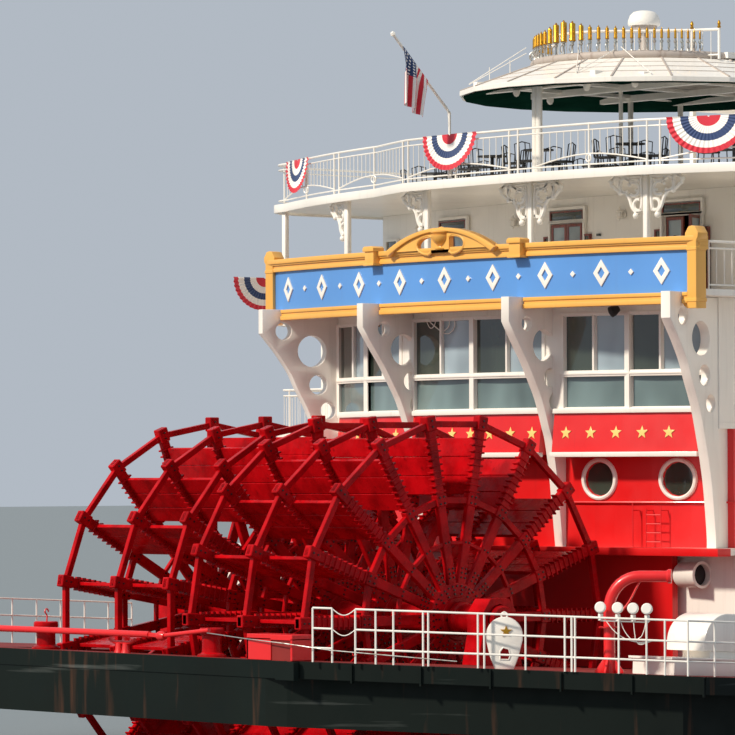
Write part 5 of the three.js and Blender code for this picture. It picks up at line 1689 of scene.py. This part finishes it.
class BOAT_OT_fantail(Operator):
    """Guard, bollard caps, pole, chock, fairlead, vent pipe, lamps, winch hood and railings of the fantail"""
    bl_idname = "boat.fantail"
    bl_label = "Fantail fittings"

    def execute(self, context):
        body, mark = pedestal()
        lamps, leads = floodlights()
        drum, mouth = ventilator()
        rollers = [turned(mm(0, 0, 7, 0, 7, 40, 0, 40), on_deck(-6.36, y), steps=16) for y in (-6.08, -5.92)]
        for pieces, name, material in (
                (fantail_guard(), "fantail_guard", "hull"),
                ([bollard_cap(2.53), bollard_cap(-3.28)], "bollard_caps", "wheel"),
                ([cleat(-0.41), pole(), chock()], "transom_fittings", "red"),
                (rollers, "chock_rollers", "steel"), (body, "fairlead", "white"),
                (mark, "fairlead_star", "brass"), (gooseneck(), "vent_pipe", "red"),
                (lamps, "floodlights", "white"), (leads, "floodlight_leads", "white"),
                (winch_hood(), "winch_hood", "white"), (drum, "ventilator", "white"),
                (mouth, "ventilator_mouth_shade", "dark"), (chock_wire(), "chock_wire", "steel")):
            finish(pieces, name, material)
        for side, name in ((1, "_port"), (-1, "")):
            finish(fantail_railing(side), f"fantail_rails{name}", "white",
                   stands_for=[f"fantail_railing{name}"])
        return {"FINISHED"}


# Flag and buntings

def cloth(name, rows, columns, at, flat, material, stands_for, held="hung", area=None):
    """A sheet of cloth; at(i, k) is the place of a grid corner, and i and k also place it in the pattern."""
    bpy.ops.object.select_all(action="DESELECT")
    bpy.ops.mesh.primitive_grid_add(x_subdivisions=columns, y_subdivisions=rows, size=1)
    piece = bpy.context.object
    layer = piece.data.uv_layers.active.data
    marks = {}
    for vertex in piece.data.vertices:
        i, k = vertex.co.x + 0.5, vertex.co.y + 0.5
        marks[vertex.index] = (i, k)
        vertex.co = at(i, k)
    for loop in piece.data.loops:
        layer[loop.index].uv = marks[loop.vertex_index]
    finish(piece, name, material, smooth=180, stands_for=stands_for)
    return piece


BUNTING_HALF, BUNTING_DROP = 0.104, 0.085
PLEATS = 22
# The cloth's flat size, and the share of it that a half oval fills
BUNTING_FLAT, BUNTING_SHARE = (2.1 * BUNTING_HALF, 1.1 * BUNTING_DROP), 0.76


def bunting_at(middle, along, out):
    """Places on a half-oval pleated bunting that hangs from its straight edge."""
    def at(i, k):
        angle = pi * i
        share = 0.03 + 0.97 * k
        pleat = 0.0018 * k * cos(tau * PLEATS * i)
        return (middle + along * BUNTING_HALF * share * cos(angle) - UP * BUNTING_DROP * share * sin(angle)
                + out * (pleat + 0.005 + 0.008 * k * sin(angle)))
    return at


class BOAT_OT_cloths(Operator):
    """The flag on its staff and the pleated buntings on the railings"""
    bl_idname = "boat.cloths"
    bl_label = "Flag and buntings"

    def execute(self, context):
        top = DECK_TOP["promenade"] + 0.107
        for name, y in (("bunting_port", 1.1), ("bunting_middle", 0.215), ("bunting_starboard", -0.562)):
            ends = [xyz(promenade_edge(y + s * BUNTING_HALF), y + s * BUNTING_HALF, 0) for s in (-1, 1)]
            along = (ends[1] - ends[0]).normalized()
            out = xyz(-along.y, along.x, 0)
            middle = (ends[0] + ends[1]) / 2 + UP * top + out * 0.004
            self.hang(name, middle, along, out)
        self.hang("bunting_gallery", xyz(-4.8, 1.345, DECK_TOP["texas"] + 0.107), xyz(1, 0, 0), xyz(0, 1, 0))

        foot = place(5.72, 2.36, 0)
        foot.z = DECK_TOP["promenade"] + 0.006
        bend, tip = place(5.72, 2.36, 11.64), place(4.0, 2.36, 13.36)
        pole_piece = rods([[foot, bend, tip]], 0.0034, 12)
        ball = turned(mm(0, 0, 4, 1, 6.5, 6, 4, 11, 0, 12), tip, tip - bend, 12)
        sleeve = rods([[foot, foot + UP * 0.05]], 0.0052, 12)
        finish([pole_piece, ball, sleeve], "staff", "white", stands_for=["flagstaff"])
        halyard = [bend.lerp(tip, 0.93) + xyz(-0.006, -0.004, 0), bend + xyz(-0.01, -0.004, 0.012),
                   foot + xyz(-0.007, -0.004, 0.12)]
        finish(rods([halyard], 0.0006, 6), "halyard", "white")

        high, low = bend.lerp(tip, 0.87), bend.lerp(tip, 0.42)
        hoist, fly = (high - low).length, 0.112

        def at(i, k):
            """i runs down the fly, k up the hoist."""
            root = low.lerp(high, k)
            fold = 0.011 * sin(tau * 2.2 * k + 0.4) * min(1, i * 2.5)
            hang = i * (0.088 + 0.042 * k)
            aft = 0.023 * (1 - k) * i
            return root + xyz(-aft, -0.006 - fold, -hang + 0.012 * sin(pi * i) * (1 - k))

        cloth("ensign", 40, 30, at, (hoist, fly), "flag", ["flag"])
        return {"FINISHED"}

    def hang(self, name, middle, along, out):
        cloth(f"{name}_cloth", 10, 132, bunting_at(middle, along, out), BUNTING_FLAT, "fan", [name],
              "gathered", area=BUNTING_FLAT[0] * BUNTING_FLAT[1] * BUNTING_SHARE)


# Long walls of the houses: half width, aft and forward ends of the row of doors, and the floor they stand on
HOUSE_ROWS = {
    "main": (1.25, -4.7, 2.9, WATERLINE + 0.195),
    "cabin": (1.19, -4.6, 3.2, DECK_TOP["cabin"]),
    "observation": (1.16, -4.6, 3.1, DECK_TOP["observation"]),
    "texas": (1.09, -4.0, 2.9, DECK_TOP["texas"]),
    "promenade": (0.82, -3.4, 2.7, DECK_TOP["promenade"]),
}


def row_places():
    """Matrix of every bay on both long walls of each house: across along the wall, up, and out of it."""
    places = []
    for half, aft, fore, floor in HOUSE_ROWS.values():
        count = round((fore - aft) / sizes().cabin_pitch)
        for i in range(count):
            x = aft + (fore - aft) * (i + 0.5) / count
            places += [frame_at((x, side * half, floor), (-side, 0, 0), UP) for side in (-1, 1)]
    return places


class BOAT_OT_cabins(Operator):
    """A panelled door and a framed window in every bay of the passenger decks' long walls"""
    bl_idname = "boat.cabins"
    bl_label = "Cabin doors and windows"

    def execute(self, context):
        white = [framed(-125, -35, 0, 212, 7, 10), framed(30, 155, 80, 205, 8, 10),
                 filled(90.5, 94.5, 85, 200, 7), filled(24, 161, 73, 80, 16)]
        wood = [filled(-119, -41, 3, 206, 4), framed(-112, -48, 18, 88, 5, 8),
                framed(-112, -48, 100, 196, 5, 8)]
        panes = [filled(-108, -52, 104, 192, 6), filled(36, 149, 86, 199, 4)]
        knob = turned(mm(0, 0, 2.5, 1, 2.8, 4, 0, 6), (-0.047, 0.098, 0.003), steps=8)
        for parts, name, material in ((white, "cabin_trims", "white"), (wood, "cabin_doors", "wood"),
                                      (panes, "cabin_panes", "glass"), ([knob], "cabin_knobs", "brass")):
            finish(repeated(joined(parts), row_places()), name, material)
        return {"FINISHED"}


# Stacks, pilothouse and bow
STACK_R, STACK_FOOT, STACK_TOP = 0.045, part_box("stack_port")[0].z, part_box("stack_port")[1].z


def stack(middle):
    """A stack with raised staves, hoops, and a flared crown of curled feathers."""
    tall = STACK_TOP - STACK_FOOT
    flute = tall - 0.15
    crown = [(r, flute + z) for r, z in mm(45, 0, 52, 8, 52, 20, 47, 30, 53, 70, 70, 110)]
    inside = [(r, flute + z) for r, z in mm(64, 110, 40, 50, 0, 50)]
    pipe = turned([*mm(0, 0, 52, 0, 52, 18, 47, 26, 45, 30), *crown, (0.094, tall), (0.088, tall), *inside],
                  steps=32)
    count = sizes().stack_flutes
    turns = [Matrix.Rotation(tau * i / count, 4, "Z") for i in range(count)]
    staves = repeated(block((STACK_R - 0.001, -0.0028, 0.03), (STACK_R + 0.0022, 0.0028, flute), 0.0008),
                      turns)
    feather = [(r, 0, flute + z) for r, z in mm(50, 30, 58, 80, 80, 120, 100, 148, 108, 138, 104, 130)]
    feathers = repeated(rods([feather], 0.0035, 8, smooth=True), turns[::2])
    hoops = [turned(mm(46, -6, 49, -4, 49, 4, 46, 6, 46, -6), (0, 0, z), steps=32) for z in (0.3, 0.62, 0.94)]
    made = joined([pipe, staves, feathers, *hoops])
    made.data.transform(shift(middle))
    return made


class BOAT_OT_stacks(Operator):
    """Two tall black stacks with staves, hoops and feathered crowns, each riding on the body named after its
    frame node
    """
    bl_idname = "boat.stacks"
    bl_label = "Stacks"

    def execute(self, context):
        for name, _ in SIDES:
            node = f"stack_{name}"
            low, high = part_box(node)
            middle = ((low.x + high.x) / 2, (low.y + high.y) / 2, STACK_FOOT)
            finish(stack(middle), f"chimney_{name}", "stack", node, stands_for=[node])
        return {"FINISHED"}


class BOAT_OT_pilothouse(Operator):
    """Panes, frames and cornice of the pilothouse, and the gilt ball on its roof"""
    bl_idname = "boat.pilothouse"
    bl_label = "Pilothouse"

    def execute(self, context):
        low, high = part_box("pilothouse")
        sill, tall = SUN_TOP + 0.09, 100
        fronts = [frame_at((x - face * 0.001, y, sill), (0, face, 0), UP)
                  for x, face in ((low.x, -1), (high.x, 1)) for y in (-0.1, 0, 0.1)]
        sides = [frame_at((x, y - face * 0.001, sill), (-face, 0, 0), UP)
                 for y, face in ((low.y, -1), (high.y, 1)) for x in (2.84, 2.96)]
        panes, frames = [], []
        for half, spots in ((42, fronts), (50, sides)):
            panes.append(repeated(filled(-half, half, 0, tall, 3, shift((0, 0, -0.005))), spots))
            frames.append(repeated(framed(-half - 3, half + 3, -3, tall + 3, 7, 12), spots))
            frames.append(repeated(framed(-half, half, -80, -12, 6, 6), spots))
        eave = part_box("pilothouse_roof")[0].z
        frames.append(block((low.x - 0.016, low.y - 0.016, eave - 0.008),
                            (high.x + 0.016, high.y + 0.016, eave), 0.002))
        # The pilothouse panes are painted dark, as painted shade of the room inside.
        finish(panes, "pilothouse_panes", "glass_dark")
        finish(frames, "pilothouse_trims", "white")
        ball = turned(mm(0, -20, 11, -18, 16, -8, 16, 4, 9, 14, 2.5, 18, 2, 50, 0, 52),
                      ((low.x + high.x) / 2, 0, top_of("pilothouse_roof")), steps=20)
        finish(ball, "pilothouse_ball", "gold")
        return {"FINISHED"}


def stage_fittings(side):
    """Cross battens, posts and handrails of one swing stage."""
    y = side * 0.56
    aft, fore, floor, rail = 5.2, 6.37, 0.82, 0.85
    battens = [block((x - 0.004, y - 0.066, floor - 0.001), (x + 0.004, y + 0.066, floor + 0.003), 0.0006)
               for x in (aft + 0.02 + 0.05 * i for i in range(23))]
    edges = (y - 0.071, y + 0.071)
    posts = [((x, out, rail - 0.002), (x, out, rail + 0.045)) for out in edges
             for x in (aft + 0.012 + 0.0955 * i for i in range(13))]
    lines = [[(x, out, rail + high) for x in (aft + 0.01, fore - 0.01)] for out in edges
             for high in (0.022, 0.045)]
    return joined([*battens, rods(posts, 0.0016, 6), rods(lines, 0.0018, 6)])


class BOAT_OT_bow(Operator):
    """Handrails of the stairs, battens and rails of the swing stages, mast caps and the jackstaff's ball"""
    bl_idname = "boat.bow"
    bl_label = "Bow fittings"

    def execute(self, context):
        low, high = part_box("bow_stairs")
        pieces = []
        for y in (-0.185, 0, 0.185):
            head, foot = xyz(low.x + 0.01, y, high.z), xyz(high.x - 0.012, y, low.z + 0.035)
            pieces.append(rods([[head + UP * z, foot + UP * z] for z in (0.09, 0.05)], 0.0026, 8))
            pieces.append(rods([(p, p + UP * 0.09) for p in (head.lerp(foot, k) for k in spaced(0, 1, 6))],
                               0.002, 8))
        finish(pieces, "stair_rails", "brass")
        for name, side in SIDES:
            finish(stage_fittings(side), f"stage_rails_{name}", "white", f"boom_{name}")
        cap, ball = mm(0, 0, 26, 0, 28, 6, 18, 14, 6, 20, 0, 40), mm(0, -6, 9, -4, 12, 6, 6, 16, 0, 18)
        mast = top_of("boom_mast_port") - 0.001
        caps = [turned(cap, (4.98, side * 0.56, mast), steps=20) for side in (-1, 1)]
        caps.append(turned(ball, (5.84, 0, top_of("jackstaff")), steps=16))
        finish(caps, "mast_caps", "gold")
        return {"FINISHED"}


# Upper railing on the canopy's roof, aft of the dome, in real metres
UPPER_RAIL = ((9.44, -2.9), (9.15, -2.3), (8.45, -1.52), (7.55, -0.62), (7.45, 0))
UPPER_RAIL_TOP, UPPER_RAIL_FOOT = 13.45, 12.76
# Places of the tables on the promenade deck, in real metres
TABLES = ((7.6, 1.3), (8.2, 3.6), (9.6, 6.0), (7.9, -1.5), (8.6, -4.2), (10.4, -7.0), (11.3, 9.2),
          (10.6, 1.2), (11.2, -3.6), (12.6, 4.6))


def upper_railing():
    """The railing aft of the dome, and its posts' finials."""
    plan = [*UPPER_RAIL, *[(x, -y) for x, y in reversed(UPPER_RAIL[:-1])]]
    line = [place(x, y, UPPER_RAIL_FOOT) for x, y in plan]
    tall = (UPPER_RAIL_TOP - UPPER_RAIL_FOOT) * SCALE
    ends = [line[i] for i in (0, 1, -2, -1)]
    finial = mm(0, 0, 4, 0, 4.5, 4, 3, 6, 4.2, 11, 2, 17, 0, 19)
    rails = [rods([[p + UP * tall for p in line]], 0.0036, 8),
             rods([[p + UP * 0.01 for p in line]], 0.002, 8),
             rods([(p, p + UP * tall) for p, _ in walk(line, 0.02)], 0.0009, 6),
             rods([(p, p + UP * 0.072) for p in ends], 0.0034, 8)]
    return joined(rails), joined(turned(finial, p + UP * 0.072, steps=12) for p in ends)


def table_set(x, y):
    """A round table on a pedestal with four chairs, in real metres."""
    foot = xyz(AXLE.x + x * SCALE, y * SCALE, DECK_TOP["promenade"])
    parts = [turned(mm(0, 0, 26, 0, 26, 2, 4, 4, 4, 71, 36, 72, 36, 75, 0, 75), foot, steps=20)]
    back = [[(0.02, -0.02, 0.044), (0.025, -0.02, 0.083), (0.026, 0, 0.088), (0.025, 0.02, 0.083),
             (0.02, 0.02, 0.044)]]
    back += [[(0.022, v, 0.044), (0.026, v, 0.086)] for v in (-0.008, 0.008)]
    legs = [((u, v, 0), (u * 0.85, v * 0.85, 0.043)) for u in (-0.021, 0.021) for v in (-0.021, 0.021)]
    for turn in (0.4, 2.0, 3.5, 5.1):
        seat = block((-0.021, -0.021, 0.042), (0.021, 0.021, 0.046), 0.001)
        chair = joined([seat, rods(legs, 0.0014, 6), rods(back, 0.0014, 6)])
        chair.data.transform(shift(foot) @ Matrix.Rotation(turn, 4, "Z") @ shift((0.062, 0, 0)))
        parts.append(chair)
    return joined(parts)


def board_lamps():
    """A junction box with its cables, a small camera and a floodlight under the name board."""
    middle = place(4.4, 1.2, 6.88)
    parts = [block(middle - Vector(low), middle + Vector(high), 0.001) for low, high in (
        ((0.008, 0.012, 0.016), (0.008, 0.012, 0.02)), ((0.01, -0.028, 0.022), (0.01, 0.068, -0.014)))]
    cables = [[middle + xyz(0, out, 0.01), middle + xyz(-0.004, out * 1.6, -0.03 - abs(out) * 0.4),
               middle + xyz(0, 0.055, -0.016)] for out in (-0.03, -0.018, 0.016)]
    parts.append(rods(cables, 0.0012, 6, smooth=True))
    flood = place(4.6, -4.4, 6.76)
    lamp = turned(mm(0, -12, 7, -11, 12, 2, 12.5, 10, 10, 11, 0, 11), flood, (-0.8, 0.3, -0.4), 16)
    parts.append(beam(flood, flood + UP * 0.03, 0.004, 0.005))
    camera = turned(mm(0, -16, 6, -16, 6, 14, 0, 16), middle + xyz(0, 0.05, 0.028), (-0.8, 0.4, -0.3), 12)
    return joined(parts), joined([lamp, camera])


class BOAT_OT_promenade(Operator):
    """The railing aft of the dome, small lamps, and the tables, chairs and bar counter under the canopy"""
    bl_idname = "boat.promenade"
    bl_label = "Aft promenade"

    def execute(self, context):
        rail, finials = upper_railing()
        finish(rail, "upper_rails", "white")
        finish(finials, "upper_finials", "brass")
        boxes, lamps = board_lamps()
        finish(boxes, "board_junction", "white")
        finish(lamps, "board_lamps", "dark")
        finish((table_set(x, y) for x, y in TABLES), "tables_and_chairs", "dark")
        z = DECK_TOP["promenade"]
        low, high = place(12.3, -6.3, 0), place(12.9, -2.7, 0)
        top = block((low.x - 0.004, low.y - 0.004, z + 0.106), (high.x + 0.004, high.y + 0.004, z + 0.112),
                    0.001)
        finish([block((low.x, low.y, z), (high.x, high.y, z + 0.106), 0.001), top], "bar_counter", "wood")
        return {"FINISHED"}


class BOAT_PT_pieces(Panel):
    """Lists the boat's pieces with the sizes and colours that they use"""
    bl_idname = "BOAT_PT_pieces"
    bl_label = "Paddle boat"
    bl_space_type = "VIEW_3D"
    bl_region_type = "UI"
    bl_category = "Paddle boat"

    def draw(self, context):
        for group in (context.scene.boat_sizes, context.scene.boat_colours):
            box = self.layout.box()
            for name in group.bl_rna.properties.keys():
                if name not in ("rna_type", "name"):
                    box.prop(group, name)
        for piece in PIECES:
            self.layout.operator(piece.bl_idname)


PIECES = (BOAT_OT_stage, BOAT_OT_finishes, BOAT_OT_wheel, BOAT_OT_fins, BOAT_OT_board, BOAT_OT_stern_house,
          BOAT_OT_railings, BOAT_OT_columns, BOAT_OT_canopy, BOAT_OT_whistles, BOAT_OT_texas_wall,
          BOAT_OT_fantail, BOAT_OT_cloths, BOAT_OT_cabins, BOAT_OT_stacks, BOAT_OT_pilothouse, BOAT_OT_bow,
          BOAT_OT_promenade)
CLASSES = (BoatSizes, BoatColours, *PIECES, BOAT_PT_pieces)


def register():
    for made in CLASSES:
        bpy.utils.register_class(made)
    bpy.types.Scene.boat_sizes = PointerProperty(type=BoatSizes)
    bpy.types.Scene.boat_colours = PointerProperty(type=BoatColours)


def unregister():
    del bpy.types.Scene.boat_colours
    del bpy.types.Scene.boat_sizes
    for made in reversed(CLASSES):
        bpy.utils.unregister_class(made)


def main():
    register()
    for piece in PIECES:
        group, name = piece.bl_idname.split(".")
        getattr(getattr(bpy.ops, group), name)()


if __name__ == "__main__":
    main()
